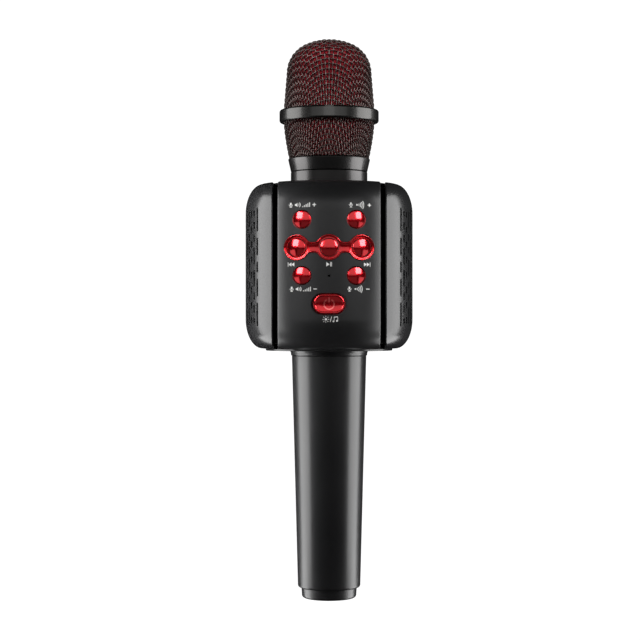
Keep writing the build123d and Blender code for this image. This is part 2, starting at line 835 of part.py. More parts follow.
# ---------------------------------------------------------------- rear cover and sockets
rear_azimuths = [90 - rear_screw_azimuth, 90 + rear_screw_azimuth]
rear_screw_heights = [corner_low_z + 2.4, corner_high_z - 2.0]
rear_screw_planes = [
    (azimuth, z) for azimuth in rear_azimuths for z in rear_screw_heights
]
rear_seat = barrel_radius - 1.2
charging_corner = charging_height / 2 - 0.05
with BuildPart() as rear_cover:
    add(barrel_shell(0, cover_wall, cover_opening))
    add(panel_cut(panel_half_width, 1), mode=Mode.INTERSECT)
    add(bosses([(-x, z) for x, z in port_screw_places], port_face_y, rear_plane(port_face_y), boss_radius))
    with BuildSketch(rear_plane(port_face_y)):
        with Locations(*[(-x, z) for x, z in port_screw_places]):
            Circle(screw_radius + thread_gap)
    extrude(amount=screw_grip, mode=Mode.SUBTRACT)
    with BuildSketch(rear_plane(port_face_y)):
        with Locations((-aux_x, socket_z)):
            Circle(aux_nose_radius + running_gap)
        with Locations((-charging_x, socket_z)):
            RectangleRounded(
                charging_width + 2 * running_gap,
                charging_height + 2 * running_gap,
                charging_corner,
            )
    extrude(amount=barrel_radius - port_face_y + 1, mode=Mode.SUBTRACT)
    for azimuth, z in rear_screw_planes:
        with BuildSketch(radial_plane(azimuth, rear_seat, z)):
            Circle(rear_screw_head_radius + fit_gap)
        extrude(amount=3, mode=Mode.SUBTRACT)
        with BuildSketch(radial_plane(azimuth, rear_seat, z)):
            Circle(screw_radius + fit_gap)
        extrude(amount=-cover_wall, mode=Mode.SUBTRACT)
save(rear_cover.part, "rear_cover")

rear_screw_grip = 5.5
with BuildPart() as rear_screws:
    for azimuth, z in rear_screw_planes:
        with BuildSketch(radial_plane(azimuth, rear_seat, z)):
            Circle(rear_screw_head_radius)
        extrude(amount=1.0)
        with BuildSketch(radial_plane(azimuth, rear_seat, z)):
            Circle(screw_radius)
        extrude(amount=-rear_screw_grip)
save(rear_screws.part, "rear_screws")

with BuildPart() as port_board:
    with BuildSketch(rear_plane(port_board_y)):
        with Locations((0, socket_z)):
            Rectangle(2 * port_board_half_width, 2 * port_board_half_height)
        with Locations(*[(-x, z) for x, z in port_screw_places]):
            Circle(screw_radius + fit_gap, mode=Mode.SUBTRACT)
    extrude(amount=port_board_wall)
save(port_board.part, "port_board")
save(screw_group(front_plane(port_board_y), port_screw_places, screw_head_radius, screw_grip), "port_screws")

with BuildPart() as aux_socket:
    with BuildSketch(rear_plane(port_face_y)):
        with Locations((-aux_x, socket_z)):
            RectangleRounded(aux_body, aux_body, 0.6)
    extrude(amount=socket_mouth_y - port_face_y - aux_nose_length)
    with BuildSketch(rear_plane(port_face_y)):
        with Locations((-aux_x, socket_z)):
            Circle(aux_nose_radius)
    extrude(amount=socket_mouth_y - port_face_y)
    with BuildSketch(rear_plane(socket_mouth_y)):
        with Locations((-aux_x, socket_z)):
            Circle(aux_bore_radius)
    extrude(amount=-aux_bore_depth, mode=Mode.SUBTRACT)
save(aux_socket.part, "aux_socket")

charging_back = 2.0
with BuildPart() as charging_socket:
    with BuildSketch(rear_plane(port_face_y)):
        with Locations((-charging_x, socket_z)):
            RectangleRounded(charging_width, charging_height, charging_corner)
    extrude(amount=socket_mouth_y - port_face_y)
    with BuildSketch(rear_plane(port_face_y + charging_back)):
        with Locations((-charging_x, socket_z)):
            RectangleRounded(
                charging_width - 2 * charging_wall,
                charging_height - 2 * charging_wall,
                charging_corner - charging_wall,
            )
    extrude(amount=socket_mouth_y - port_face_y, mode=Mode.SUBTRACT)
    with BuildSketch(rear_plane(port_face_y + charging_back)):
        with Locations((-charging_x, socket_z)):
            Rectangle(charging_tongue_width, charging_tongue_height)
    extrude(amount=socket_mouth_y - port_face_y - charging_back - 1.0)
save(charging_socket.part, "charging_socket")


# ---------------------------------------------------------------- side covers with their slots
def slot_stack(lengths, bridge):
    """Slots one above the other, with a bridge between each two, as (height, length) pairs."""
    low = -(sum(lengths) + bridge * (len(lengths) - 1)) / 2
    stack = []
    for length in lengths:
        stack.append((low + length / 2, length))
        low += length + bridge
    return stack


with BuildPart() as slot_cutters:
    for column in range(slot_columns):
        azimuth = (column - (slot_columns - 1) / 2) * slot_pitch
        from_edge = min(column, slot_columns - 1 - column)
        lengths, bridge = slot_patterns[from_edge % len(slot_patterns)]
        for height, length in slot_stack(lengths, bridge):
            with BuildSketch(radial_plane(azimuth, barrel_radius - cover_wall - 1, slot_centre_z + height)):
                SlotOverall(length, slot_width, rotation=90)
    extrude(amount=cover_wall + 2)

with BuildPart() as right_cover:
    add(barrel_shell(0, cover_wall, cover_opening))
    with Locations((groove_outer_x, 0, barrel_low_z + barrel_height / 2)):
        Box(
            barrel_radius,
            2 * barrel_radius,
            barrel_height + plate_lip,
            align=(Align.MIN, Align.CENTER, Align.CENTER),
            mode=Mode.INTERSECT,
        )
    add(slot_cutters.part, mode=Mode.SUBTRACT)
save(right_cover.part, "right_cover")
save(mirror(right_cover.part, about=Plane.YZ), "left_cover")

cloth_outer = barrel_radius - cover_wall - seat_gap
cloth_half_angle = slot_pitch * slot_columns / 2 + 2
cloth_edge = radians(-cloth_half_angle)
with BuildPart() as right_dust_cloth:
    with BuildSketch(Plane(
        origin=(0, 0, 0),
        x_dir=(cos(cloth_edge), sin(cloth_edge), 0),
        z_dir=(sin(cloth_edge), -cos(cloth_edge), 0),
    )):
        with Locations((cloth_outer - cloth_wall / 2, (corner_low_z + corner_high_z) / 2)):
            Rectangle(cloth_wall, corner_high_z - corner_low_z)
    revolve(axis=Axis.Z, revolution_arc=2 * cloth_half_angle)
save(right_dust_cloth.part, "right_dust_cloth")
save(mirror(right_dust_cloth.part, about=Plane.YZ), "left_dust_cloth")

# ---------------------------------------------------------------- inner frame
speaker_aperture = cone_radius + surround_gap + surround_wall + 3.3
speaker_seat_wall = 1.6
front_window = board_half_width + 0.8
rear_window = port_board_half_width + 0.6
frame_boss_depth = 3.0
seat_plane = Plane(origin=(speaker_x, 0, speaker_z), x_dir=(0, 1, 0), z_dir=(1, 0, 0))
with BuildPart() as speaker_seat:
    with BuildSketch(seat_plane):
        Circle(speaker_flange_radius + 1.5)
        Circle(speaker_aperture, mode=Mode.SUBTRACT)
        with PolarLocations(speaker_screw_circle, 4, start_angle=45):
            Circle(screw_radius + thread_gap, mode=Mode.SUBTRACT)
    extrude(amount=speaker_seat_wall)
    add(barrel_form(frame_inset + frame_wall / 2), mode=Mode.INTERSECT)

with BuildPart() as barrel_frame:
    add(barrel_shell(frame_inset, frame_inset + frame_wall, frame_end_radius))
    for azimuth, z in rear_screw_planes:
        with BuildSketch(radial_plane(azimuth, barrel_radius - frame_inset - frame_wall / 2, z)):
            Circle(boss_radius)
        extrude(amount=-frame_boss_depth)
        with BuildSketch(radial_plane(azimuth, barrel_radius, z)):
            Circle(screw_radius + thread_gap)
        extrude(amount=-barrel_radius / 2, mode=Mode.SUBTRACT)
    with Locations((0, -barrel_radius / 2, (board_low_z + board_high_z) / 2)):
        Box(2 * front_window, barrel_radius, board_high_z - board_low_z + 4, mode=Mode.SUBTRACT)
    with Locations((0, barrel_radius / 2, socket_z)):
        Box(2 * rear_window, barrel_radius, 2 * port_board_half_height + 4, mode=Mode.SUBTRACT)
    with Locations(Location((0, 0, speaker_z), (0, 90, 0))):
        Cylinder(speaker_aperture, 2 * barrel_radius, mode=Mode.SUBTRACT)
    add(speaker_seat.part)
    add(mirror(speaker_seat.part, about=Plane.YZ))
save(barrel_frame.part, "barrel_frame")

# ---------------------------------------------------------------- speakers
flange_back = speaker_x - speaker_flange_wall
basket_back = speaker_x - basket_depth
basket_floor_x = basket_back + basket_wall
coil_outer = pole_radius + coil_gap + coil_wall
gap_outer = coil_outer + coil_gap
magnet_low_x = basket_back - magnet_length
yoke_x = magnet_low_x - yoke_wall
with BuildPart() as basket:
    add(turned_about_speaker([
        (speaker_x, speaker_opening),
        (speaker_x, speaker_flange_radius),
        (flange_back, speaker_flange_radius),
        (flange_back, speaker_opening + basket_wall),
        (basket_floor_x, magnet_radius + basket_wall),
        (basket_back, magnet_radius + basket_wall),
        (basket_back, gap_outer),
        (basket_floor_x, gap_outer),
        (basket_floor_x, magnet_radius),
        (flange_back, speaker_opening),
    ]))
    with BuildSketch(Plane(origin=(speaker_x, 0, speaker_z), x_dir=(0, 1, 0), z_dir=(1, 0, 0))):
        with PolarLocations(speaker_screw_circle, 4, start_angle=45):
            Circle(screw_radius + thread_gap)
    extrude(amount=-speaker_flange_wall, mode=Mode.SUBTRACT)

magnet = turned_about_speaker([
    (magnet_low_x, gap_outer),
    (magnet_low_x, magnet_radius),
    (basket_back, magnet_radius),
    (basket_back, gap_outer),
])
yoke = turned_about_speaker([
    (yoke_x, 0),
    (yoke_x, magnet_radius),
    (magnet_low_x, magnet_radius),
    (magnet_low_x, pole_radius),
    (basket_floor_x, pole_radius),
    (basket_floor_x, 0),
])
surround_inner = cone_radius + surround_gap
roll_middle = (surround_inner + speaker_opening) / 2
surround = turned_about_speaker([
    (speaker_x, speaker_opening),
    (speaker_x, speaker_aperture - fit_gap),
    (speaker_x + surround_wall, speaker_aperture - fit_gap),
    (speaker_x + surround_wall, speaker_opening),
    (speaker_x + surround_wall + surround_rise, roll_middle),
    (speaker_x + surround_wall, surround_inner),
    (speaker_x, surround_inner),
    (speaker_x + surround_rise, roll_middle),
])
cone_edge_x = speaker_x
cone_neck_x = cone_edge_x - cone_depth
coil_low_x = magnet_low_x + cone_travel + 1.0
dust_cap_rise = 1.6
cone = turned_about_speaker([
    (coil_low_x, coil_outer - coil_wall),
    (coil_low_x, coil_outer),
    (cone_neck_x, coil_outer),
    (cone_edge_x, cone_radius),
    (cone_edge_x + cone_wall, cone_radius),
    (cone_neck_x + cone_wall, coil_outer),
    (cone_neck_x + cone_wall + dust_cap_rise, 0),
    (cone_neck_x + dust_cap_rise, 0),
    (cone_neck_x, coil_outer - coil_wall),
])
speaker_screws = screw_group(
    Plane(origin=(flange_back, 0, speaker_z), x_dir=(0, 1, 0), z_dir=(-1, 0, 0)),
    [(speaker_screw_circle * cos(radians(a)), speaker_screw_circle * sin(radians(a))) for a in (45, 135, 225, 315)],
    screw_head_radius,
    speaker_flange_wall + speaker_seat_wall,
)
for piece, piece_name in (
    (basket.part, "speaker_basket"),
    (magnet, "speaker_magnet"),
    (yoke, "speaker_yoke"),
    (surround, "speaker_surround"),
    (cone, "speaker_cone"),
):
    save(mirror(piece, about=Plane.YZ), f"left_{piece_name}")
    save(piece, f"right_{piece_name}")
left_screws = mirror(speaker_screws, about=Plane.YZ)
save(Compound([*speaker_screws.solids(), *left_screws.solids()]), "speaker_screws")

# ---------------------------------------------------------------- leads inside
plug_top = connector_size / 2
save(lead("battery_lead", 2.0, [
    (0, -5.0, cell_low_z + cell_length - cell_nub_height),
    (0, -3.5, handle_high_z - 6.2),
    (0, -8.0, barrel_low_z + 4.4),
    (0, -18.0, barrel_low_z + 8.9),
    (0, plug_y, barrel_low_z + 12.9),
    (0, plug_y, battery_plug[1] - plug_top),
]), "battery_lead")

capsule_wire = lead("capsule lead", 1.6, [
    (0, 0, capsule_low_z),
    (0, 0, stand_low_z),
    (-2.5, -9.0, barrel_high_z - 6.5),
    (-head_plug_x, -19.0, barrel_high_z - 9.0),
    (-head_plug_x, plug_y, barrel_high_z - 12.2),
    (-head_plug_x, plug_y, head_plug_z + plug_top),
])
light_wire = lead("light lead", 1.4, [
    (light_lead_x, light_lead_y, light_low_z),
    (light_lead_x, light_lead_y, barrel_high_z - 3.5),
    (head_plug_x, -17.5, barrel_high_z - 7.0),
    (head_plug_x, plug_y, barrel_high_z - 10.5),
    (head_plug_x, plug_y, head_plug_z + plug_top),
])
save(Compound([capsule_wire.solid(), light_wire.solid()]), "head_leads")

terminal_y = -(magnet_radius + basket_wall) - 1.2
terminal_x = basket_floor_x + 0.8
right_wire = lead("speaker lead", 1.2, [
    (terminal_x, terminal_y, speaker_z),
    (terminal_x, -20.0, speaker_z + 2.2),
    (16.0, plug_y, speaker_z + 1.2),
    (speaker_plug_x, plug_y, speaker_z - 2.3),
    (speaker_plug_x, plug_y, speaker_plug_z + plug_top),
])
left_wire = mirror(right_wire, about=Plane.YZ)
save(Compound([right_wire.solid(), left_wire.solid()]), "speaker_leads")

save(lead("port_lead", 2.0, [
    (port_plug[0], port_board_y, socket_z - 2.0),
    (port_plug[0], 16.0, socket_z - 2.0),
    (port_plug[0], 4.0, socket_z - 5.0),
    (port_plug[0], -10.0, port_plug[1]),
    (port_plug[0], board_back_y + connector_depth, port_plug[1]),
]), "port_lead")
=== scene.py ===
import json
from math import acos, asin, atan2, ceil, cos, pi, radians, sin, sqrt

import bmesh
import bpy
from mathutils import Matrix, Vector, noise

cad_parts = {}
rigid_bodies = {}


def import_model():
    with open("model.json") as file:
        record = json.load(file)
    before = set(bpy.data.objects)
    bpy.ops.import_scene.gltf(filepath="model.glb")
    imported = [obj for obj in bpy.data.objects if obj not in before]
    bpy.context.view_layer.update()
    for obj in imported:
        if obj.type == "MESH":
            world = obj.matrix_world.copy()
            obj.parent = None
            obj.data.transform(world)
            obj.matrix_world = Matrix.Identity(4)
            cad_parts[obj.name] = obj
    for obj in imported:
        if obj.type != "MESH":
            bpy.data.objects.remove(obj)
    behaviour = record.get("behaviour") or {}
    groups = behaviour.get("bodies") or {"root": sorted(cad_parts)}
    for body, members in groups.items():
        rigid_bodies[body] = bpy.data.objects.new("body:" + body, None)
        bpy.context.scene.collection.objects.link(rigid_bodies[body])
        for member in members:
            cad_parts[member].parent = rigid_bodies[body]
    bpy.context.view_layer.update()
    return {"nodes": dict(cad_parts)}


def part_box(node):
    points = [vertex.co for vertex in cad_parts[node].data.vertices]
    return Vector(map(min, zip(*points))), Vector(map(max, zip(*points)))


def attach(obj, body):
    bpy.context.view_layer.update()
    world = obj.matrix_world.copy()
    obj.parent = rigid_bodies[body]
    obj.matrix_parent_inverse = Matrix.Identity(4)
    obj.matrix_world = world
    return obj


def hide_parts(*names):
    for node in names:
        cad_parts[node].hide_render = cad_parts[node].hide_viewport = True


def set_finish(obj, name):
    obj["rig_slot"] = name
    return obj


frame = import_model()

# The karaoke microphone's looks. Everything is in metres in the CAD frame: +Z up its axis,
# and the key panel faces -Y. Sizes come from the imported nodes' boxes wherever they can.

MM = 0.001
X, Y, Z = Vector((1, 0, 0)), Vector((0, 1, 0)), Vector((0, 0, 1))
nodes = frame["nodes"]
scene = bpy.context.scene


def top(node):
    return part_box(node)[1].z


def bottom(node):
    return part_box(node)[0].z


def radius(node):
    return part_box(node)[1].x


# ---------------------------------------------------------------- sizes shared by the pieces
barrel_radius = max(radius("right_cover"), -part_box("left_cover")[0].x)
barrel_low = bottom("front_cover")
barrel_high = top("front_cover")
corner_run = 8.0 * MM
corner_rise = 14.0 * MM
cover_wall = 2.0 * MM
end_opening = 28.95 * MM
panel_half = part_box("front_cover")[1].x
groove_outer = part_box("right_cover")[0].x
panel_edge_round = 0.55 * MM
side_edge_round = 0.9 * MM
dome_low = bottom("upper_mesh")
apex = top("upper_mesh")
ring_low = bottom("head_ring")
skirt_low = bottom("lower_mesh")
mesh_ring_radius = radius("upper_mesh")
mesh_base_radius = 19.2 * MM
mesh_waist_radius = 20.9 * MM
taper_radius = 20.45 * MM
shoulder_round = 15.0 * MM
crown_round = 28.0 * MM
net_pitch = 2.47 * MM
net_depth = 0.6 * MM
net_lean = 0.3 * MM
dome_wire = 0.5 * MM
skirt_wire = 0.42 * MM
cap_low_radius = 13.0 * MM
cap_high_radius = 13.3 * MM
cap_spigot_radius = 12.9 * MM
cap_bore = 11.2 * MM
cap_floor = 3.0 * MM
handle_bore = 13.08 * MM
handle_low_radius = 14.98 * MM
handle_wall = 1.9 * MM
sleeve_bore = 15.6 * MM
sleeve_radius = 15.4 * MM


# ---------------------------------------------------------------- mesh helpers
def outward_mesh(name, verts, faces):
    """A mesh whose faces all look outwards."""
    mesh = bpy.data.meshes.new(name)
    mesh.from_pydata([tuple(v) for v in verts], [], faces)
    mesh.validate()
    bm = bmesh.new()
    bm.from_mesh(mesh)
    bmesh.ops.recalc_face_normals(bm, faces=bm.faces)
    bm.to_mesh(mesh)
    bm.free()
    return mesh


def loose_object(name, verts, faces):
    """An object of the scene that rides on nothing: a cutter or the floor."""
    obj = bpy.data.objects.new(name, outward_mesh(name, verts, faces))
    scene.collection.objects.link(obj)
    return obj


def piece_of(name, verts, faces, body, slot, material, smooth_angle=35):
    """A mesh object that rides on a body, smooth except at edges sharper than an angle."""
    obj = loose_object(name, verts, faces)
    obj.data.shade_smooth()
    obj.data.set_sharp_from_angle(angle=radians(smooth_angle))
    obj.data.materials.append(material)
    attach(obj, body)
    if slot:
        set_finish(obj, slot)
    return obj


def rounded(points, closed=True, steps=6, support=0.12 * MM):
    """An outline of (a, b, rounding) corners as points, with arcs and a support point beside each."""
    out = []
    n = len(points)
    for i, (a, b, r) in enumerate(points):
        here = Vector((a, b))
        if r <= 0 or (not closed and i in (0, n - 1)):
            out.append(here)
            continue
        before = Vector(points[i - 1][:2])
        after = Vector(points[(i + 1) % n][:2])
        arriving = (here - before).normalized()
        leaving = (after - here).normalized()
        turn = arriving.angle(leaving, 0.0)
        if turn < 1e-3:
            out.append(here)
            continue
        reach = r * sqrt((1 - cos(turn)) / (1 + cos(turn)))
        start = here - arriving * reach
        end = here + leaving * reach
        middle = here + (leaving - arriving).normalized() * (r / cos(turn / 2))
        if (here - before).length > reach + 2 * support:
            out.append(start - arriving * support)
        a0 = (start - middle).to_2d()
        side = 1 if arriving.cross(leaving) > 0 else -1
        for k in range(steps + 1):
            t = side * turn * k / steps
            out.append(middle + Vector((a0.x * cos(t) - a0.y * sin(t), a0.x * sin(t) + a0.y * cos(t))))
        if (after - here).length > reach + 2 * support:
            out.append(end + leaving * support)
    return out


def lathe(name, outline, body, slot, material, segments=120, smooth_angle=35):
    """A closed outline of (radius, height) points turned about the microphone's axis."""
    verts, rings = [], []
    for r, z in outline:
        if r < 1e-7:
            rings.append([len(verts)])
            verts.append((0, 0, z))
        else:
            rings.append(list(range(len(verts), len(verts) + segments)))
            turns = [2 * pi * k / segments for k in range(segments)]
            verts += [(r * cos(a), r * sin(a), z) for a in turns]
    faces = []
    for lower, upper in zip(rings, rings[1:] + rings[:1]):
        for k in range(segments):
            m = (k + 1) % segments
            if len(lower) == 1 and len(upper) == 1:
                continue
            if len(lower) == 1:
                faces.append((lower[0], upper[k], upper[m]))
            elif len(upper) == 1:
                faces.append((lower[k], lower[m], upper[0]))
            else:
                faces.append((lower[k], lower[m], upper[m], upper[k]))
    return piece_of(name, verts, faces, body, slot, material, smooth_angle)


def cut(obj, cutter):
    """Takes a cutter's volume out of a piece and drops the cutter."""
    tool = obj.modifiers.new("cut", "BOOLEAN")
    tool.operation = "DIFFERENCE"
    tool.solver = "EXACT"
    tool.object = cutter
    depsgraph = bpy.context.evaluated_depsgraph_get()
    mesh = bpy.data.meshes.new_from_object(obj.evaluated_get(depsgraph))
    obj.modifiers.clear()
    obj.data = mesh
    bpy.data.objects.remove(cutter)


def add_stack(rings, verts, faces):
    """Adds a closed solid through rings of equal counts, with flat ends."""
    base, n = len(verts), len(rings[0])
    for ring in rings:
        verts += ring
    faces.append(tuple(range(base, base + n)))
    faces.append(tuple(range(len(verts) - n, len(verts))))
    for level in range(len(rings) - 1):
        low = base + n * level
        for k in range(n):
            m = (k + 1) % n
            faces.append((low + k, low + m, low + n + m, low + n + k))


def loft(levels, place, verts, faces):
    """Adds a closed solid through (outline, height) levels of equal counts above a local frame."""
    origin, across, up, out = place
    rings = [[origin + across * a + up * b + out * height for a, b in outline] for outline, height in levels]
    add_stack(rings, verts, faces)


def stadium(length, width, steps=10):
    """A stadium's outline, with its length along the second direction."""
    half = (length - width) / 2
    r = width / 2
    out = [Vector((r * cos(pi * k / steps), half + r * sin(pi * k / steps))) for k in range(steps + 1)]
    out += [Vector((-r * cos(pi * k / steps), -half - r * sin(pi * k / steps))) for k in range(steps + 1)]
    return out


def circle(r, steps=48):
    return [Vector((r * cos(2 * pi * k / steps), r * sin(2 * pi * k / steps))) for k in range(steps)]


# ---------------------------------------------------------------- materials
class Material:
    """A node material built from a Principled shader and a few procedural layers."""

    def __init__(self, name, colour, roughness, metallic=0.0, **sockets):
        self.data = bpy.data.materials.new(name)
        self.data.use_nodes = True
        self.tree = self.data.node_tree
        self.shader = self.tree.nodes["Principled BSDF"]
        self.shader.inputs["Base Color"].default_value = (*colour, 1)
        self.shader.inputs["Roughness"].default_value = roughness
        self.shader.inputs["Metallic"].default_value = metallic
        for socket, value in sockets.items():
            self.shader.inputs[socket.replace("_", " ")].default_value = value
        self.colour = colour
        self.roughness = roughness
        self.bumps = None

    def node(self, kind, **settings):
        made = self.tree.nodes.new(kind)
        for key, value in settings.items():
            setattr(made, key, value)
        return made

    def link(self, a, b):
        self.tree.links.new(a, b)

    def noise(self, scale, detail=3.0, kind="ShaderNodeTexNoise", stretch=(1, 1, 1)):
        """A 3-D texture in object space, as many cells to the metre as its scale says."""
        place = self.node("ShaderNodeTexCoord")
        mapping = self.node("ShaderNodeMapping")
        mapping.inputs["Scale"].default_value = stretch
        texture = self.node(kind)
        texture.inputs["Scale"].default_value = scale
        if "Detail" in texture.inputs:
            texture.inputs["Detail"].default_value = detail
        self.link(place.outputs["Object"], mapping.inputs["Vector"])
        self.link(mapping.outputs["Vector"], texture.inputs["Vector"])
        return texture.outputs["Fac"] if "Fac" in texture.outputs else texture.outputs["Distance"]

    def ramp(self, fac, stops):
        made = self.node("ShaderNodeValToRGB")
        elements = made.color_ramp.elements
        elements[0].position, elements[0].color = stops[0][0], (*stops[0][1], 1)
        elements[1].position, elements[1].color = stops[-1][0], (*stops[-1][1], 1)
        for place, colour in stops[1:-1]:
            elements.new(place).color = (*colour, 1)
        self.link(fac, made.inputs["Fac"])
        return made.outputs["Color"]

    def vary_colour(self, fac, darker, lighter, low=0.35, high=0.65):
        dark = tuple(c * darker for c in self.colour)
        light = tuple(min(1.0, c * lighter) for c in self.colour)
        self.link(self.ramp(fac, [(low, dark), (high, light)]), self.shader.inputs["Base Color"])

    def vary_roughness(self, fac, spread, low=0.15, high=0.85):
        mapped = self.node("ShaderNodeMapRange", interpolation_type="SMOOTHSTEP")
        mapped.inputs["From Min"].default_value = low
        mapped.inputs["From Max"].default_value = high
        mapped.inputs["To Min"].default_value = max(0.02, self.roughness - spread)
        mapped.inputs["To Max"].default_value = min(1.0, self.roughness + spread)
        self.link(fac, mapped.inputs["Value"])
        self.link(mapped.outputs["Result"], self.shader.inputs["Roughness"])

    def bump(self, fac, depth, strength=1.0):
        made = self.node("ShaderNodeBump")
        made.inputs["Distance"].default_value = depth
        made.inputs["Strength"].default_value = strength
        self.link(fac, made.inputs["Height"])
        if self.bumps:
            self.link(self.bumps, made.inputs["Normal"])
        self.bumps = made.outputs["Normal"]
        self.link(self.bumps, self.shader.inputs["Normal"])


def moulded(name, colour, roughness, grain=0.0012, **sockets):
    """Moulded or painted surface: fine grain, faint cloudy unevenness and a few dull patches."""
    m = Material(name, colour, roughness, **sockets)
    m.vary_colour(m.noise(60, 2), 0.88, 1.12, 0.2, 0.8)
    m.vary_roughness(m.noise(40, 2), 0.03)
    m.bump(m.noise(2400, 2), grain * MM)
    return m.data


def metal(name, colour, roughness, grain=0.002, brushed=False, **sockets):
    m = Material(name, colour, roughness, metallic=1.0, **sockets)
    stretch = (1, 1, 40) if brushed else (1, 1, 1)
    m.vary_colour(m.noise(90, 4), 0.9, 1.1)
    m.vary_roughness(m.noise(900 if brushed else 60, 4, stretch=stretch), 0.04)
    m.bump(m.noise(2600, 2, stretch=stretch), grain * MM)
    return m.data


body_black = moulded(
    "body_black_satin", (0.018, 0.018, 0.019), 0.235,
    Specular_IOR_Level=0.5, Coat_Weight=0.2, Coat_Roughness=0.2)
panel_black = moulded(
    "panel_black_satin", (0.018, 0.018, 0.019), 0.315,
    Specular_IOR_Level=0.5, Coat_Weight=0.15, Coat_Roughness=0.22)
handle_black = moulded(
    "handle_black_paint", (0.012, 0.012, 0.013), 0.315, grain=0.0008,
    Specular_IOR_Level=0.55, Coat_Weight=0.3, Coat_Roughness=0.2)
neck_metal = metal("neck_gunmetal", (0.066, 0.064, 0.064), 0.325, Coat_Weight=0.3, Coat_Roughness=0.12)
ring_metal = metal("ring_gunmetal", (0.052, 0.051, 0.049), 0.325, Coat_Weight=0.35, Coat_Roughness=0.1)
wire_metal = metal("mesh_wire_steel", (0.22, 0.18, 0.17), 0.35, grain=0.001)
inner_plastic = moulded("inner_plastic_black", (0.012, 0.012, 0.013), 0.6)
rubber_black = moulded("rubber_black", (0.02, 0.02, 0.02), 0.75, grain=0.01)
capsule_metal = metal("capsule_aluminium", (0.62, 0.62, 0.64), 0.3)
screw_steel = metal("screw_steel", (0.45, 0.45, 0.47), 0.3, brushed=True)
socket_steel = metal("socket_steel", (0.62, 0.62, 0.64), 0.25)
basket_steel = metal("basket_steel", (0.07, 0.07, 0.075), 0.4)
battery_blue = moulded("battery_sleeve_blue", (0.04, 0.16, 0.32), 0.3)
lead_red = moulded("lead_sleeve", (0.09, 0.01, 0.01), 0.5)
cone_paper = moulded("cone_paper", (0.02, 0.02, 0.021), 0.85, grain=0.03)
chip_black = moulded("chip_black", (0.015, 0.015, 0.017), 0.45)
ferrite = moulded("magnet_ferrite", (0.03, 0.03, 0.032), 0.7, grain=0.02)
lens_clear = moulded("led_lens", (0.8, 0.82, 0.8), 0.12, Coat_Weight=0.6)
lens_smoked = moulded("status_lens_smoked", (0.002, 0.002, 0.002), 0.5, Specular_IOR_Level=0.05)


def glossy_red(name, colour):
    """Red lacquer over metal, with a clear coat."""
    m = Material(name, colour, 0.17, metallic=0.94, Coat_Weight=0.8, Coat_Roughness=0.04, Coat_IOR=1.5)
    m.vary_colour(m.noise(180, 3), 0.92, 1.08)
    m.vary_roughness(m.noise(150, 4), 0.03)
    m.bump(m.noise(700, 2), 0.0008 * MM)
    return m.data


key_red = glossy_red("key_red_chrome", (0.56, 0.006, 0.012))
bezel_red = glossy_red("bezel_red_chrome", (0.5, 0.006, 0.011))
# The power symbol is a real raised mark, but its lighter red is painted highlight: it stands in for the light
# caught on the symbol's raised edges.
symbol_red_painted_highlight = glossy_red("symbol_red_painted_highlight_chrome", (0.95, 0.16, 0.16))


def foam_material():
    m = Material("foam_deep_red", (0.24, 0.003, 0.011), 0.95)
    m.vary_colour(m.noise(900, 3), 0.35, 1.5)
    m.bump(m.noise(1400, 2, kind="ShaderNodeTexVoronoi"), 0.25 * MM)
    return m.data


def cloth_material():
    m = Material("dust_cloth_black", (0.012, 0.012, 0.012), 0.95)
    m.vary_colour(m.noise(1600, 2), 0.6, 1.6)
    m.bump(m.noise(2200, 1, kind="ShaderNodeTexVoronoi"), 0.08 * MM)
    return m.data


def board_material():
    m = Material("board_green", (0.01, 0.09, 0.035), 0.35)
    m.vary_colour(m.noise(240, 1, kind="ShaderNodeTexVoronoi"), 0.7, 1.5, 0.2, 0.25)
    m.bump(m.noise(400, 1), 0.02 * MM)
    return m.data


def print_material():
    m = Material("print_white", (0.85, 0.85, 0.83), 0.5)
    m.vary_colour(m.noise(900, 3), 0.86, 1.08)
    m.bump(m.noise(3000, 2), 0.003 * MM)
    return m.data


foam_red = foam_material()
dust_cloth = cloth_material()
board_green = board_material()
print_white = print_material()


# ---------------------------------------------------------------- camera
# A level view from about 0.8 m in front; the lens is in millimetres for a 36 mm sensor, and the
# microphone stands right of the middle by a share of the frame's width.
camera_height = 0.1332
camera_distance = 0.817
lens_length = 95.56875
aim_right = 0.01421875
camera_data = bpy.data.cameras.new("camera")
camera_data.sensor_width = 36
camera_data.lens = lens_length
camera_data.shift_x = -aim_right
camera = bpy.data.objects.new("camera", camera_data)
camera.location = (0, -camera_distance, camera_height)
camera.rotation_euler = (pi / 2, 0, 0)
scene.collection.objects.link(camera)
scene.camera = camera


# ---------------------------------------------------------------- light, floor and world
def softbox(name, middle, away, distance, size, radiance):
    """A rectangular area light at a distance from a place, in the direction away, that faces the place."""
    data = bpy.data.lights.new(name, "AREA")
    data.shape = "RECTANGLE"
    data.size, data.size_y = size
    data.energy = radiance * pi * size[0] * size[1]
    light = bpy.data.objects.new(name, data)
    light.location = middle + away * distance
    light.rotation_euler = (-away).to_track_quat("-Z", "Y").to_euler()
    light.visible_camera = False
    scene.collection.objects.link(light)
    return light


def softbox_over(name, azimuth, spread, distance, low_z, high_z, radiance):
    """An upright softbox that spans an azimuth either side of another, between two heights."""
    a = radians(azimuth)
    away = Vector((sin(a), -cos(a), 0))
    width = 2 * distance * sin(radians(spread)) / cos(radians(spread))
    middle = Vector((0, 0, (low_z + high_z) / 2))
    return softbox(name, middle, away, distance, (width, high_z - low_z), radiance)


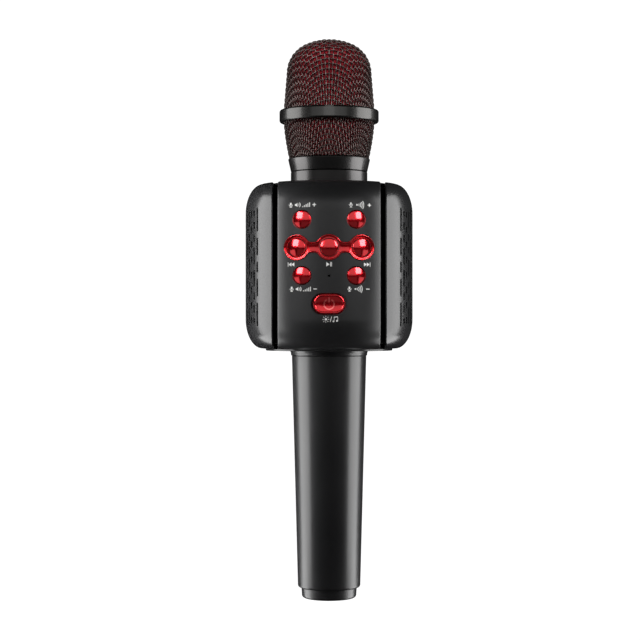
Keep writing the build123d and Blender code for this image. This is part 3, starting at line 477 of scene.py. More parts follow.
studio_sides = []
for side, word in ((-1, "left"), (1, "right")):
    studio_sides.append(softbox_over(f"{word}_high", side * 90, 23, 0.62, 0.13, 0.5, 4.2))
    studio_sides.append(softbox_over(f"{word}_low", side * 90, 23, 0.62, -0.12, 0.13, 4.2))
    studio_sides.append(softbox_over(f"{word}_under", side * 106, 19, 0.62, -0.5, -0.12, 4.6))
panel_glows = [softbox_over("front", 0, 22, 0.7, 0.16, 0.5, 0.6)]
for side, word in ((-1, "left"), (1, "right")):
    panel_glows.append(softbox_over(f"{word}_front", side * 35, 14, 0.7, 0.16, 0.5, 1.15))

scene.view_settings.view_transform = "Standard"
white_level = 1.1
world_level = 0.015


def camera_sees(tree, shown, otherwise, output):
    """Gives camera rays one shader's result and every other ray another's."""
    path = tree.nodes.new("ShaderNodeLightPath")
    mixer = tree.nodes.new("ShaderNodeMixShader")
    tree.links.new(path.outputs["Is Camera Ray"], mixer.inputs["Fac"])
    tree.links.new(otherwise.outputs[0], mixer.inputs[1])
    tree.links.new(shown.outputs[0], mixer.inputs[2])
    tree.links.new(mixer.outputs["Shader"], tree.nodes[output].inputs["Surface"])


def studio_world():
    """A white backdrop for the camera that lights the microphone only faintly."""
    scene.world = bpy.data.worlds.new("studio")
    scene.world.use_nodes = True
    tree = scene.world.node_tree
    white = tree.nodes["Background"]
    faint = tree.nodes.new("ShaderNodeBackground")
    for background, strength in ((white, white_level), (faint, world_level)):
        background.inputs["Color"].default_value = (1, 1, 1, 1)
        background.inputs["Strength"].default_value = strength
    camera_sees(tree, white, faint, "World Output")


def floor_material():
    """A floor that the camera sees as white as the backdrop."""
    data = bpy.data.materials.new("studio_floor")
    data.use_nodes = True
    tree = data.node_tree
    shader = tree.nodes["Principled BSDF"]
    shader.inputs["Base Color"].default_value = (0.9, 0.9, 0.9, 1)
    shader.inputs["Roughness"].default_value = 0.9
    shader.inputs["Specular IOR Level"].default_value = 0.0
    glow = tree.nodes.new("ShaderNodeEmission")
    glow.inputs["Strength"].default_value = white_level
    camera_sees(tree, glow, shader, "Material Output")
    return data


def studio_floor(half=3.0):
    """A flat square that only the camera sees, so it bounces no light and shades no softbox below it."""
    corners = [(x * half, y * half, 0) for x, y in ((-1, -1), (1, -1), (1, 1), (-1, 1))]
    floor = loose_object("studio_floor", corners, [(0, 1, 2, 3)])
    floor.data.materials.append(floor_material())
    floor.visible_glossy = False
    floor.visible_diffuse = False
    floor.visible_shadow = False


studio_world()
studio_floor()

# ---------------------------------------------------------------- handle
def polar_holes(circle_radius, hole_radius, low, high):
    """Three upright round cutters on a circle about the axis."""
    verts, faces = [], []
    for k in range(3):
        a = radians(120 * k)
        place = (Vector((circle_radius * cos(a), circle_radius * sin(a), 0)), X, Y, Z)
        loft([(circle(hole_radius, 24), low), (circle(hole_radius, 24), high)], place, verts, faces)
    return loose_object("holes", verts, faces)


cap_high = bottom("handle_tube")
end_cap = lathe("handle_end_cap", rounded([
    (0, 0, 0),
    (cap_low_radius, 0, 1.4 * MM),
    (cap_high_radius, cap_high, 0.25 * MM),
    (cap_spigot_radius, cap_high, 0),
    (cap_spigot_radius, top("end_cap"), 0.3 * MM),
    (cap_bore, top("end_cap"), 0.3 * MM),
    (cap_bore, cap_floor, 0.3 * MM),
    (0, cap_floor, 0),
]), "body", "handle_black", handle_black)
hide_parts("end_cap")

handle_top = top("handle_tube")
handle_radius = radius("handle_tube")
handle = lathe("handle_shell", rounded([
    (handle_bore, cap_high, 0.2 * MM),
    (handle_low_radius, cap_high, 1.2 * MM),
    (handle_radius, handle_top, 0.35 * MM),
    (handle_radius - handle_wall, handle_top, 0.2 * MM),
], steps=8), "body", "handle_black", handle_black, segments=144)
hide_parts("handle_tube")

plate_low = top("handle_collar")
collar_low_radius = 18.3 * MM
collar_top_radius = radius("handle_collar")
plate_bore = 10.5 * MM
screw_circle = 13.0 * MM
flare = [
    (collar_low_radius + (collar_top_radius - collar_low_radius) * (1 - cos(t * pi / 2)),
     handle_top + (plate_low - handle_top) * sin(t * pi / 2), 0)
    for t in (0.25, 0.4, 0.55, 0.7, 0.85)
]
collar = lathe("handle_collar_ring", rounded([
    (sleeve_bore, handle_top, 0),
    (collar_low_radius, handle_top, 0.35 * MM),
    *flare,
    (collar_top_radius, plate_low, 0.1 * MM),
    (plate_bore, plate_low, 0),
    (plate_bore, bottom("handle_collar"), 0),
    (sleeve_radius, bottom("handle_collar"), 0.3 * MM),
]), "body", "handle_black", handle_black)
cut(collar, polar_holes(screw_circle, 1.1 * MM, plate_low - 12 * MM, plate_low + 1 * MM))
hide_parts("handle_collar")

# ---------------------------------------------------------------- barrel ends and neck
plug_radius = radius("top_cap")
end_plate = lathe("bottom_plate", rounded([
    (plate_bore, plate_low, 0),
    (radius("bottom_cap"), plate_low, 0.3 * MM),
    (radius("bottom_cap"), barrel_low, 0.2 * MM),
    (plug_radius, barrel_low, 0),
    (plug_radius, top("bottom_cap"), 0.3 * MM),
    (plate_bore, top("bottom_cap"), 0),
]), "body", "body_black", body_black)
cut(end_plate, polar_holes(screw_circle, 1.2 * MM, plate_low - 1 * MM, plate_low + 6 * MM))
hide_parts("bottom_cap")

neck_radius = radius("neck_ring")
neck_high = bottom("neck_collar")
neck_plug = neck_radius - 1 * MM
top_plate = lathe("top_plate", rounded([
    (neck_plug + 0.15 * MM, bottom("top_cap"), 0),
    (plug_radius, bottom("top_cap"), 0),
    (plug_radius, barrel_high, 0.25 * MM),
    (neck_plug + 0.15 * MM, barrel_high, 0),
]), "body", "body_black", body_black)
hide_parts("top_cap")

spigot_bore = 12.6 * MM
spigot_radius = 15.9 * MM
ledge = spigot_bore - 1 * MM
stand_low = bottom("capsule_stand")
neck = lathe("neck_ring_turned", rounded([
    (ledge, bottom("neck_ring"), 0),
    (neck_plug, bottom("neck_ring"), 0),
    (neck_plug, barrel_high, 0),
    (neck_radius, barrel_high, 0.2 * MM),
    (neck_radius, neck_high, 0.45 * MM),
    (spigot_radius, neck_high, 0),
    (spigot_radius, top("neck_ring"), 0.3 * MM),
    (spigot_bore, top("neck_ring"), 0.3 * MM),
    (spigot_bore, stand_low, 0),
    (ledge, stand_low, 0),
]), "body", "neck_metal", neck_metal)
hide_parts("neck_ring")

# ---------------------------------------------------------------- head
neck_collar = lathe("neck_collar_turned", rounded([
    (spigot_radius + 0.3 * MM, neck_high, 0.2 * MM),
    (neck_radius - 0.1 * MM, neck_high, 0.35 * MM),
    (radius("neck_collar"), skirt_low, 0.45 * MM),
    (mesh_base_radius - 1.6 * MM, skirt_low, 0),
    (mesh_base_radius - 1.6 * MM, top("neck_collar"), 0),
    (spigot_radius + 0.3 * MM, top("neck_collar"), 0.2 * MM),
]), "head", "neck_metal", neck_metal)
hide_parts("neck_collar")

ring_bore = 20.6 * MM
ring_radius = radius("head_ring")
head_ring = lathe("head_ring_turned", rounded([
    (ring_bore, ring_low, 0.3 * MM),
    (ring_radius, ring_low, 1.0 * MM),
    (ring_radius, dome_low, 1.0 * MM),
    (ring_bore, dome_low, 0.3 * MM),
], steps=8), "head", "neck_metal", ring_metal, segments=144)
notch_half, notch_drop, notch_inward = 2 * MM, 0.8 * MM, 2.6 * MM


def notch_cutter():
    """A block that opens a small notch in the head ring's upper front edge."""
    verts, faces = [], []
    outline = [Vector((x * notch_half, z)) for x, z in ((-1, -notch_drop), (1, -notch_drop), (1, MM), (-1, MM))]
    place = (Vector((0, -ring_radius, dome_low)), X, Z, -Y)
    loft([(outline, -notch_inward), (outline, 1 * MM)], place, verts, faces)
    return loose_object("notch", verts, faces)


cut(head_ring, notch_cutter())
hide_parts("head_ring")

# The dome's meridian: a crown arc, a shoulder arc and a straight taper down to the head ring.
crown_centre = apex - crown_round
shoulder_centre_r = taper_radius - shoulder_round
shoulder_centre_z = crown_centre + sqrt((crown_round - shoulder_round) ** 2 - shoulder_centre_r ** 2)
crown_sweep = atan2(shoulder_centre_r, shoulder_centre_z - crown_centre)
crown_arc = crown_round * crown_sweep
shoulder_arc = shoulder_round * (pi / 2 - crown_sweep)
taper_length = (Vector((taper_radius, shoulder_centre_z)) - Vector((mesh_ring_radius, dome_low))).length
dome_arc = crown_arc + shoulder_arc + taper_length
skirt_span = 17.1 * MM


def skirt_radius(z):
    """Radius of the lower mesh at a height: a circle through its foot, waist and top."""
    t = (z - skirt_low) / (ring_low - skirt_low)
    a, b, c = mesh_base_radius, mesh_waist_radius, mesh_ring_radius
    return a * (1 - t) * (1 - 2 * t) + 4 * b * t * (1 - t) + c * t * (2 * t - 1)


def meridian(s):
    """(radius, height, outward slope) of the mesh's outside at a distance from the apex over it."""
    if s <= crown_arc:
        a = s / crown_round
        return crown_round * sin(a), crown_centre + crown_round * cos(a), a
    if s <= crown_arc + shoulder_arc:
        a = crown_sweep + (s - crown_arc) / shoulder_round
        return shoulder_centre_r + shoulder_round * sin(a), shoulder_centre_z + shoulder_round * cos(a), a
    if s <= dome_arc:
        t = (s - crown_arc - shoulder_arc) / taper_length
        slope = pi / 2 - atan2(mesh_ring_radius - taper_radius, shoulder_centre_z - dome_low)
        r = taper_radius + (mesh_ring_radius - taper_radius) * t
        return r, shoulder_centre_z + (dome_low - shoulder_centre_z) * t, slope
    z = ring_low - (s - dome_arc) / skirt_span * (ring_low - skirt_low)
    rise = 0.05 * MM
    slope = pi / 2 + atan2(skirt_radius(z + rise) - skirt_radius(z - rise), 2 * rise)
    return skirt_radius(z), z, slope


def on_net(u, v, depth):
    """The point of the mesh's net at flat coordinates u and v, below the mesh's outside by a depth."""
    s = sqrt(u * u + v * v)
    azimuth = atan2(u, v)
    r, z, slope = meridian(s)
    normal = Vector((sin(slope) * sin(azimuth), -sin(slope) * cos(azimuth), cos(slope)))
    return Vector((r * sin(azimuth), -r * cos(azimuth), z)) - normal * depth, normal


def wire_runs(fixed, near, far):
    """The stretches of one flat wire between a near and a far distance from the apex."""
    reach = sqrt(far * far - fixed * fixed)
    if near <= abs(fixed):
        return [(-reach, reach)]
    inner = sqrt(near * near - fixed * fixed)
    return [(-reach, -inner), (inner, reach)]


def wire_points(family, number, start, end, wire, steps):
    """(point, normal) places along one wire, which swings over and under the wires it crosses."""
    fixed = number * net_pitch
    swing = net_depth - wire / 2
    count = max(2, ceil((end - start) / net_pitch * steps))
    points = []
    for i in range(count + 1):
        along = start + (end - start) * i / count
        u, v = (fixed, along) if family == 0 else (along, fixed)
        lift = swing * cos(pi * (along / net_pitch + number)) * (1 if family == 0 else -1)
        s = max(sqrt(u * u + v * v), 1e-6)
        squeeze = 1 - min(1, meridian(s)[0] / s)
        lift += squeeze * ((along / s) ** 2 - 0.5) * net_lean
        points.append(on_net(u, v, max(wire / 2, net_depth - lift)))
    return points


def wire_rings(points, wire, sides):
    """A thin tube's rings along (point, normal) places."""
    rings = []
    last = len(points) - 1
    for i, (point, normal) in enumerate(points):
        ahead = points[min(i + 1, last)][0] - points[max(i - 1, 0)][0]
        across = ahead.cross(normal).normalized()
        out = across.cross(ahead).normalized()
        turns = [2 * pi * q / sides for q in range(sides)]
        rings.append([point + (across * cos(a) + out * sin(a)) * (wire / 2) for a in turns])
    return rings


def woven_net(name, near, far, wire, replaced, steps, sides=4):
    """Plain-woven wires pressed over the form: two families of wires on a flat square net."""
    verts, faces = [], []
    half_count = int(far / net_pitch)
    for family in (0, 1):
        for number in range(-half_count, half_count + 1):
            for start, end in wire_runs(number * net_pitch, near, far):
                if end - start >= net_pitch / 3:
                    points = wire_points(family, number, start, end, wire, steps)
                    add_stack(wire_rings(points, wire, sides), verts, faces)
    net = piece_of(name, verts, faces, "head", "mesh_wire", wire_metal, smooth_angle=100)
    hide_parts(replaced)


woven_net("dome_net", 0, dome_arc, dome_wire, "upper_mesh", steps=5)
woven_net("skirt_net", dome_arc, dome_arc + skirt_span, skirt_wire, "lower_mesh", steps=4)

foam_inset = 1.2 * MM
foam_bore = 10.5 * MM
foam_foot_radius = 15.5 * MM
foam_neck = ring_bore - 0.3 * MM
foam_low = bottom("foam_windscreen")
foot_high = foam_low + 1.8 * MM
hollow_high = foam_low + 32 * MM
pit_depth = 0.5 * MM
pits_per_metre = 900


def foam_outline():
    """The foam's outside down from its apex, then its foot, bore and hollow."""
    rows = []
    for i in range(61):
        r, z, slope = meridian(dome_arc * i / 60)
        rows.append((max(0, r - foam_inset * sin(slope)), z - foam_inset * cos(slope)))
    rows += [(foam_neck, dome_low), (foam_neck, ring_low)]
    for i in range(25):
        z = ring_low + (foam_low - ring_low) * i / 24
        rows.append((skirt_radius(z) - foam_inset, z))
    rows += [(foam_foot_radius, foam_low), (foam_foot_radius, foot_high)]
    rows += [(foam_bore, foot_high), (foam_bore, hollow_high), (0, hollow_high)]
    return rows


def foam_windscreen():
    """The soft windscreen under the nets, with an open-celled surface outside its bore."""
    foam = lathe(
        "foam_windscreen_soft", foam_outline(), "head", "foam_red", foam_red, segments=104, smooth_angle=60)
    for vertex in foam.data.vertices:
        place = vertex.co
        if place.z > foam_low + 0.1 * MM and place.xy.length > foam_bore + 1 * MM:
            pit = max(0.0, noise.noise(place * pits_per_metre)) * pit_depth
            inward = Vector((place.x, place.y, max(0.0, place.z - crown_centre))).normalized()
            vertex.co = place - inward * pit
    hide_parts("foam_windscreen")


foam_windscreen()


# ---------------------------------------------------------------- covers
def form_point(inset, t):
    """(radius, height) on the barrel's form at an inset; t runs down it from 0 to 1."""
    run, rise = corner_run - inset, corner_rise - inset
    high, low = barrel_high - inset, barrel_low + inset
    centre_r = barrel_radius - corner_run
    stages = ((0.06, "top"), (0.3, "upper"), (0.7, "side"), (0.94, "lower"), (1.0, "bottom"))
    previous = 0.0
    for end, stage in stages:
        if t <= end + 1e-9:
            f = (t - previous) / (end - previous)
            break
        previous = end
    if stage == "top":
        return end_opening + (centre_r - end_opening) * f, high
    if stage == "upper":
        a = pi / 2 * (1 - f)
        return centre_r + run * cos(a), high - rise + rise * sin(a)
    if stage == "side":
        return barrel_radius - inset, high - rise + (low + rise - high + rise) * f
    if stage == "lower":
        a = -pi / 2 * f
        return centre_r + run * cos(a), low + rise + rise * sin(a)
    return centre_r + (end_opening - centre_r) * f, low


def form_normal(point):
    """The barrel form's normal at a point on its outside, or None where the point isn't on it."""
    r = sqrt(point.x ** 2 + point.y ** 2)
    centre_r = barrel_radius - corner_run
    z_high, z_low = barrel_high - corner_rise, barrel_low + corner_rise
    slack = 4e-6
    radial = Vector((point.x / r, point.y / r, 0))
    if z_low <= point.z <= z_high:
        return radial if abs(r - barrel_radius) < slack else None
    beyond = point.z - (z_high if point.z > z_high else z_low)
    if r <= centre_r:
        return Vector((0, 0, 1 if beyond > 0 else -1)) if abs(abs(beyond) - corner_rise) < slack else None
    across = (r - centre_r) / corner_run
    along = beyond / corner_rise
    if abs(sqrt(across ** 2 + along ** 2) - 1) * corner_run > slack:
        return None
    return (radial * (across / corner_run) + Z * (along / corner_rise)).normalized()


form_rows = sorted(set(
    [0, 0.03, 0.06] + [0.06 + 0.24 * k / 14 for k in range(15)] + [0.3 + 0.4 * k / 20 for k in range(21)]
    + [0.7 + 0.24 * k / 14 for k in range(15)] + [0.97, 1.0]
))


def cover_row(t, outer, cut_x, side, edge_round, columns, azimuth):
    """One level of a cover's outer or inner face, from one rounded edge across to the other."""
    bends = 6
    row = []
    for j in range(-columns - bends, columns + bends + 1):
        a = pi / 2 * max(0, abs(j) - columns) / bends
        clear = edge_round * (1 - sin(a))
        drop = edge_round * (1 - cos(a))
        r, z = form_point(drop if outer else cover_wall, t)
        share = max(-1, min(1, j / columns))
        if side == "panel":
            swing = asin(min(1, (cut_x - clear) / r)) * share
            x, y = r * sin(swing), -r * cos(swing)
        else:
            swing = acos(min(1, (cut_x + clear) / r)) * share
            x, y = r * cos(swing), r * sin(swing)
        turn = radians(azimuth)
        row.append((x * cos(turn) - y * sin(turn), x * sin(turn) + y * cos(turn), z))
    return row


def cover_grid(cut_x, side, edge_round, columns, azimuth):
    """A cover's closed grid: the barrel's wall on one side of two parallel cuts, with rounded outer edges.

    A front or rear panel lies between the cuts at -cut_x and cut_x; a side cover lies beyond one cut.
    """
    verts, faces = [], []
    grids = []
    for outer in (True, False):
        grid = []
        for t in form_rows:
            row = cover_row(t, outer, cut_x, side, edge_round, columns, azimuth)
            grid.append(range(len(verts), len(verts) + len(row)))
            verts += row
        grids.append(grid)
    outside, inside = grids
    last = len(form_rows) - 1
    width = len(outside[0]) - 1
    for i in range(last):
        for j in range(width):
            faces.append((outside[i][j], outside[i][j + 1], outside[i + 1][j + 1], outside[i + 1][j]))
            faces.append((inside[i][j], inside[i + 1][j], inside[i + 1][j + 1], inside[i][j + 1]))
        for j in (0, width):
            faces.append((outside[i][j], outside[i + 1][j], inside[i + 1][j], inside[i][j]))
    for i in (0, last):
        for j in range(width):
            faces.append((outside[i][j], outside[i][j + 1], inside[i][j + 1], inside[i][j]))
    return verts, faces


def exact_normals(obj):
    """Gives the corners that lie on the barrel's outside its true normal, so that cuts leave no ripples."""
    mesh = obj.data
    mesh.shade_smooth()
    mesh.set_sharp_from_angle(angle=radians(32))
    corners = [Vector(n.vector) for n in mesh.corner_normals]
    for polygon in mesh.polygons:
        for loop in polygon.loop_indices:
            true = form_normal(mesh.vertices[mesh.loops[loop].vertex_index].co)
            if true is not None and true.dot(polygon.normal) > 0.93:
                corners[loop] = true
    mesh.normals_split_custom_set([tuple(n) for n in corners])


def drape(point, rise):
    """A flat (x, z) place on the front panel, raised from the barrel's outside."""
    return Vector((point[0], -sqrt((barrel_radius + rise) ** 2 - point[0] ** 2), point[1]))


def lobed_outline(margin, arc_steps=28, blend_steps=6, neck_steps=8):
    """The media bezel's outline drawn in by a margin: three round lobes with blended necks."""
    lobe = bezel_lobe - margin
    neck_half = bezel_neck / 2 - margin
    blend = bezel_blend + margin
    gap_x = sqrt((lobe + blend) ** 2 - (neck_half + blend) ** 2)
    touch = atan2(neck_half + blend, gap_x)
    half = []
    def arc(cx, cy, r, a0, a1, n):
        for k in range(n):
            a = a0 + (a1 - a0) * k / n
            half.append(Vector((cx + r * cos(a), cy + r * sin(a))))
    arc(media_x, 0, lobe, 0, pi - touch, arc_steps)
    arc(media_x - gap_x, neck_half + blend, blend, -touch, -pi / 2, blend_steps)
    for k in range(neck_steps):
        half.append(Vector((media_x - gap_x - (media_x - 2 * gap_x) * k / neck_steps, neck_half)))
    arc(gap_x, neck_half + blend, blend, -pi / 2, -pi + touch, blend_steps)
    arc(0, 0, lobe, touch, pi / 2, arc_steps // 2)
    half.append(Vector((0, lobe)))
    left = [Vector((-p.x, p.y)) for p in reversed(half[1:-1])]
    upper = half + left + [Vector((-media_x - lobe, 0))]
    lower = [Vector((p.x, -p.y)) for p in reversed(upper[1:-1])]
    return [Vector((p.x, p.y + media_z)) for p in upper + lower]


keys = {
    name: (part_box(name)[0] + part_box(name)[1]) / 2
    for name in ("mic_up_key", "echo_up_key", "previous_key", "play_key", "next_key",
                 "mic_down_key", "echo_down_key", "power_key")
}
media_x = keys["next_key"].x
media_z = keys["play_key"].z
power_z = keys["power_key"].z
status_z = (bottom("status_light_pipe") + top("status_light_pipe")) / 2
bezel_lobe = 6.0 * MM
bezel_neck = 4.9 * MM
bezel_blend = 2.4 * MM
key_gap = 0.4 * MM
key_radius = 4.0 * MM
media_key_radius = 4.1 * MM
power_length, power_height = 14.5 * MM, 9.0 * MM
status_radius = 0.6 * MM
cut_from, cut_to, power_cut_to = 30 * MM, 45 * MM, 39.3 * MM
pocket_top = 1.5 * MM
bezel_pocket_depth = 0.7 * MM
power_recess_depth = 0.8 * MM


def slot_outline(length, height, steps=14):
    """A stadium lying across, as points."""
    half = (length - height) / 2
    r = height / 2
    angles = [-pi / 2 + pi * k / steps for k in range(steps + 1)]
    right = [Vector((half + r * cos(a), r * sin(a))) for a in angles]
    return right + [Vector((-p.x, -p.y)) for p in right]


def key_cutters():
    """Everything cut out of the front cover."""
    cuts = []
    for name in ("mic_up_key", "echo_up_key", "mic_down_key", "echo_down_key"):
        cuts.append((circle(key_radius + key_gap, 56), keys[name].x, keys[name].z, cut_to))
    cuts.append((circle(status_radius, 24), 0, status_z, cut_to))
    power_hole = slot_outline(power_length + 2 * key_gap, power_height + 2 * key_gap)
    cuts.append((power_hole, 0, power_z, power_cut_to))
    verts, faces = [], []
    for outline, x, z, reach in cuts:
        place = (Vector((x, 0, z)), X, Z, -Y)
        loft([(outline, cut_from), (outline, reach)], place, verts, faces)
    return loose_object("key_cutters", verts, faces)


def draped_cutter(name, outline, floor_rise):
    """A cutter whose floor follows the barrel below its outside."""
    verts, faces = [], []
    add_stack([[drape(p, rise) for p in outline] for rise in (floor_rise, pocket_top)], verts, faces)
    return loose_object(name, verts, faces)


def front_panel():
    """The key panel, with a pocket under the bezel and a recess about the power key."""
    verts, faces = cover_grid(panel_half, "panel", panel_edge_round, 36, 0)
    front = piece_of("front_panel", verts, faces, "body", "body_black", panel_black)
    recess = [p + Vector((0, power_z)) for p in slot_outline(power_length + 2.2 * MM, power_height + 1.2 * MM)]
    cut(front, draped_cutter("bezel_pocket", lobed_outline(-0.1 * MM), -bezel_pocket_depth))
    cut(front, draped_cutter("power_recess", recess, -power_recess_depth))
    cut(front, key_cutters())
    exact_normals(front)
    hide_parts("front_cover")


front_panel()

# ---------------------------------------------------------------- rear cover and side covers
def radial_place(azimuth, distance, z):
    """A local frame that faces out of the barrel at an azimuth from +X."""
    a = radians(azimuth)
    out = Vector((cos(a), sin(a), 0))
    return Vector((0, 0, z)) + out * distance, Vector((-sin(a), cos(a), 0)), Z, out


rear_azimuths = (90 - 27.5, 90 + 27.5)
screw_low, screw_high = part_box("rear_screws")[0].z + 2.3 * MM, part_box("rear_screws")[1].z - 2.3 * MM
rear_screw_places = [(a, z) for a in rear_azimuths for z in (screw_low, screw_high)]
rear_seat = barrel_radius - 1.2 * MM
aux_x = (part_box("aux_socket")[0].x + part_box("aux_socket")[1].x) / 2
charging_x = (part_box("charging_socket")[0].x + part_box("charging_socket")[1].x) / 2
socket_z = (bottom("charging_socket") + top("charging_socket")) / 2
charging_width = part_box("charging_socket")[1].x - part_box("charging_socket")[0].x
charging_height = top("charging_socket") - bottom("charging_socket")
charging_slack = 0.5 * MM
aux_mouth_radius = 3.25 * MM
seat_radius = 2.45 * MM
seat_mouth_radius = 2.8 * MM
seat_straight, seat_flared, seat_clear = 0.95 * MM, 1.3 * MM, 4 * MM
screw_hole_radius = 1.2 * MM


def rear_cutters():
    """The screw seats and the socket openings of the rear cover, with slightly flared mouths."""
    verts, faces = [], []
    for azimuth, z in rear_screw_places:
        place = radial_place(azimuth, rear_seat, z)
        seat, wide = circle(seat_radius, 40), circle(seat_mouth_radius, 40)
        loft([(seat, 0), (seat, seat_straight), (wide, seat_flared), (wide, seat_clear)], place, verts, faces)
        hole = circle(screw_hole_radius, 20)
        loft([(hole, -2.5 * MM), (hole, 1 * MM)], place, verts, faces)
    charging = slot_outline(charging_width + charging_slack, charging_height + charging_slack)
    for x, outline in ((aux_x, circle(aux_mouth_radius, 48)), (charging_x, charging)):
        place = (Vector((x, 0, socket_z)), -X, Z, Y)
        loft([(outline, cut_from), (outline, cut_to)], place, verts, faces)
    return loose_object("rear_cutters", verts, faces)


def rear_panel():
    verts, faces = cover_grid(panel_half, "panel", panel_edge_round, 36, 180)
    rear = piece_of("rear_panel", verts, faces, "body", "body_black", panel_black)
    cut(rear, rear_cutters())
    exact_normals(rear)
    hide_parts("rear_cover")


rear_panel()

slot_width = 1.3 * MM
slot_pitch = 4.4
slot_columns = 16
slot_middle = (barrel_low + barrel_high) / 2 - 0.8 * MM
slot_flare = 0.16
# Each pattern is the slots' lengths down a column and the bridge between them, in millimetres.
slot_patterns = [
    ([11.3, 8.4, 5.2, 8.4, 11.3], 2.8),
    ([2.8, 3.6, 3.6, 8.0, 8.0, 3.6, 3.6, 2.8], 2.45),
    ([3.4, 3.4, 3.4, 3.4, 3.4, 3.4, 3.4, 3.4], 3.7),
    ([8.0, 3.4, 3.4, 8.0, 3.4, 3.4, 8.0], 2.6),
]


def side_slots(side_azimuth):
    """Every slot of a side cover, each with a mouth that flares a little at the surface."""
    verts, faces = [], []
    for column in range(slot_columns):
        azimuth = side_azimuth + (column - (slot_columns - 1) / 2) * slot_pitch
        lengths, bridge = slot_patterns[min(column, slot_columns - 1 - column) % len(slot_patterns)]
        low = -(sum(lengths) + bridge * (len(lengths) - 1)) / 2
        for length in lengths:
            place = radial_place(azimuth, barrel_radius, slot_middle + (low + length / 2) * MM)
            low += length + bridge
            inner = stadium(length * MM, slot_width, 4)
            outer = stadium((length + slot_flare) * MM, slot_width + slot_flare * MM, 4)
            levels = [(inner, -3 * MM), (inner, -0.08 * MM), (outer, 0.01 * MM), (outer, 1 * MM)]
            loft(levels, place, verts, faces)
    return loose_object("slots", verts, faces)


def side_cover(word, azimuth):
    verts, faces = cover_grid(groove_outer, "side", side_edge_round, 44, azimuth)
    cover = piece_of(f"{word}_side_shell", verts, faces, "body", "body_black", body_black)
    cut(cover, side_slots(azimuth))
    exact_normals(cover)
    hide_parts(f"{word}_cover")


side_cover("right", 0)
side_cover("left", 180)


# ---------------------------------------------------------------- keys and bezel
def ring_piece(name, rings, body, slot, material, extra=None, smooth_angle=35):
    """A closed solid through rings of equal counts, with flat ends, and another such list beside it."""
    verts, faces = [], []
    for group in [rings] + (extra or []):
        add_stack(group, verts, faces)
    return piece_of(name, verts, faces, body, slot, material, smooth_angle)


def round_points(place, r, count=72):
    return [Vector((place.x + p.x, place.z + p.y)) for p in circle(r, count)]


def flat_ring(outline, y):
    return [Vector((p.x, y, p.y)) for p in outline]


flange_width = 0.6 * MM
flange_thickness = 0.9 * MM
flange_clearance = 0.3 * MM
stem_radius = 2.0 * MM
plunger_radius = 1.7 * MM
switch_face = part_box("key_switches")[0].y
plunger_front, plunger_back = switch_face - 1.2 * MM, switch_face + 1.0 * MM


def key_back(place, half_width, outline, count):
    """The rings behind a key's face: its flange, its stem, and the switch plunger that it rests on."""
    flange_edge = abs(place.x) + half_width + flange_width
    flange_front = -sqrt((barrel_radius - cover_wall) ** 2 - flange_edge ** 2) + flange_clearance
    flange_back = flange_front + flange_thickness
    stem = round_points(place, stem_radius, count)
    rings = [
        flat_ring(outline(0), flange_front),
        flat_ring(outline(-flange_width), flange_front),
        flat_ring(outline(-flange_width), flange_back),
        flat_ring(stem, flange_back),
        flat_ring(stem, plunger_front),
    ]
    plunger = [flat_ring(round_points(place, plunger_radius, count), y) for y in (plunger_front, plunger_back)]
    return rings, [plunger]


def domed_key(name, r, edge_rise=0.15 * MM, dome=0.72 * MM, round_over=0.35 * MM):
    """A round key whose glossy face bulges above the panel's curve."""
    place = keys[name]
    count = 72
    rings = []
    flat_radius = r - round_over
    for i in range(1, 17):
        rho = flat_radius * i / 16
        rise = edge_rise + dome * (1 - (rho / r) ** 2)
        rings.append([drape(p, rise) for p in round_points(place, rho, count)])
    shoulder = edge_rise + dome * (1 - (flat_radius / r) ** 2)
    lean = atan2(2 * dome / r, 1)
    for i in range(1, 7):
        a = lean + (pi / 2 - lean) * i / 6
        rho = flat_radius + round_over * (sin(a) - sin(lean)) / (1 - sin(lean))
        rise = shoulder - round_over * (cos(lean) - cos(a))
        rings.append([drape(p, rise) for p in round_points(place, rho, count)])
    back, plunger = key_back(place, r, lambda margin: round_points(place, r - margin, count), count)
    key = ring_piece(f"{name}_cap", rings + back, name, "red_gloss", key_red, plunger, smooth_angle=50)
    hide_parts(name)


media_keys = ("previous_key", "play_key", "next_key")
for key_name in keys:
    if key_name != "power_key":
        domed_key(key_name, media_key_radius if key_name in media_keys else key_radius)


def power_outline(margin):
    """The power key's outline drawn in by a margin; it ends as a line along the key's middle."""
    margin = min(margin, power_height / 2 - 0.02 * MM)
    outline = slot_outline(power_length - 2 * margin, power_height - 2 * margin, 24)
    return [p + Vector((0, power_z)) for p in outline]


# The power key's face as (margin, rise) in millimetres: its dished middle, then its rounded lip.
power_levels = [
    (0.62, 0.86), (0.74, 0.84), (0.85, 0.72), (0.95, 0.58), (1.06, 0.5), (1.2, 0.46),
    (1.6, 0.40), (2.1, 0.30), (2.7, 0.22), (3.3, 0.17), (3.9, 0.15), (4.3, 0.145), (4.48, 0.145),
]
power_lip = ((0.45, 0.9), (0.25, 0.84), (0.1, 0.7), (0.02, 0.5), (0, 0.3))


def power_rise(x, z):
    """Height of the power key's dished face above the panel's curve."""
    half = (power_length - power_height) / 2
    reach = Vector((max(0, abs(x) - half), z - power_z)).length
    margin = power_height / 2 - reach
    for (m0, h0), (m1, h1) in zip(power_levels, power_levels[1:]):
        if margin <= m1 * MM:
            t = (margin / MM - m0) / (m1 - m0)
            return (h0 + (h1 - h0) * t) * MM
    return power_levels[-1][1] * MM


def power_key():
    """The wide key, whose glossy face is dished inside a raised lip."""
    levels = [*reversed(power_levels), *power_lip]
    rings = [[drape(p, rise * MM) for p in power_outline(margin * MM)] for margin, rise in levels]
    back, plunger = key_back(keys["power_key"], power_length / 2, power_outline, len(power_outline(0)))
    key = ring_piece("power_key_cap", rings + back, "power_key", "red_gloss", key_red, plunger, smooth_angle=50)
    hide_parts("power_key")


power_key()

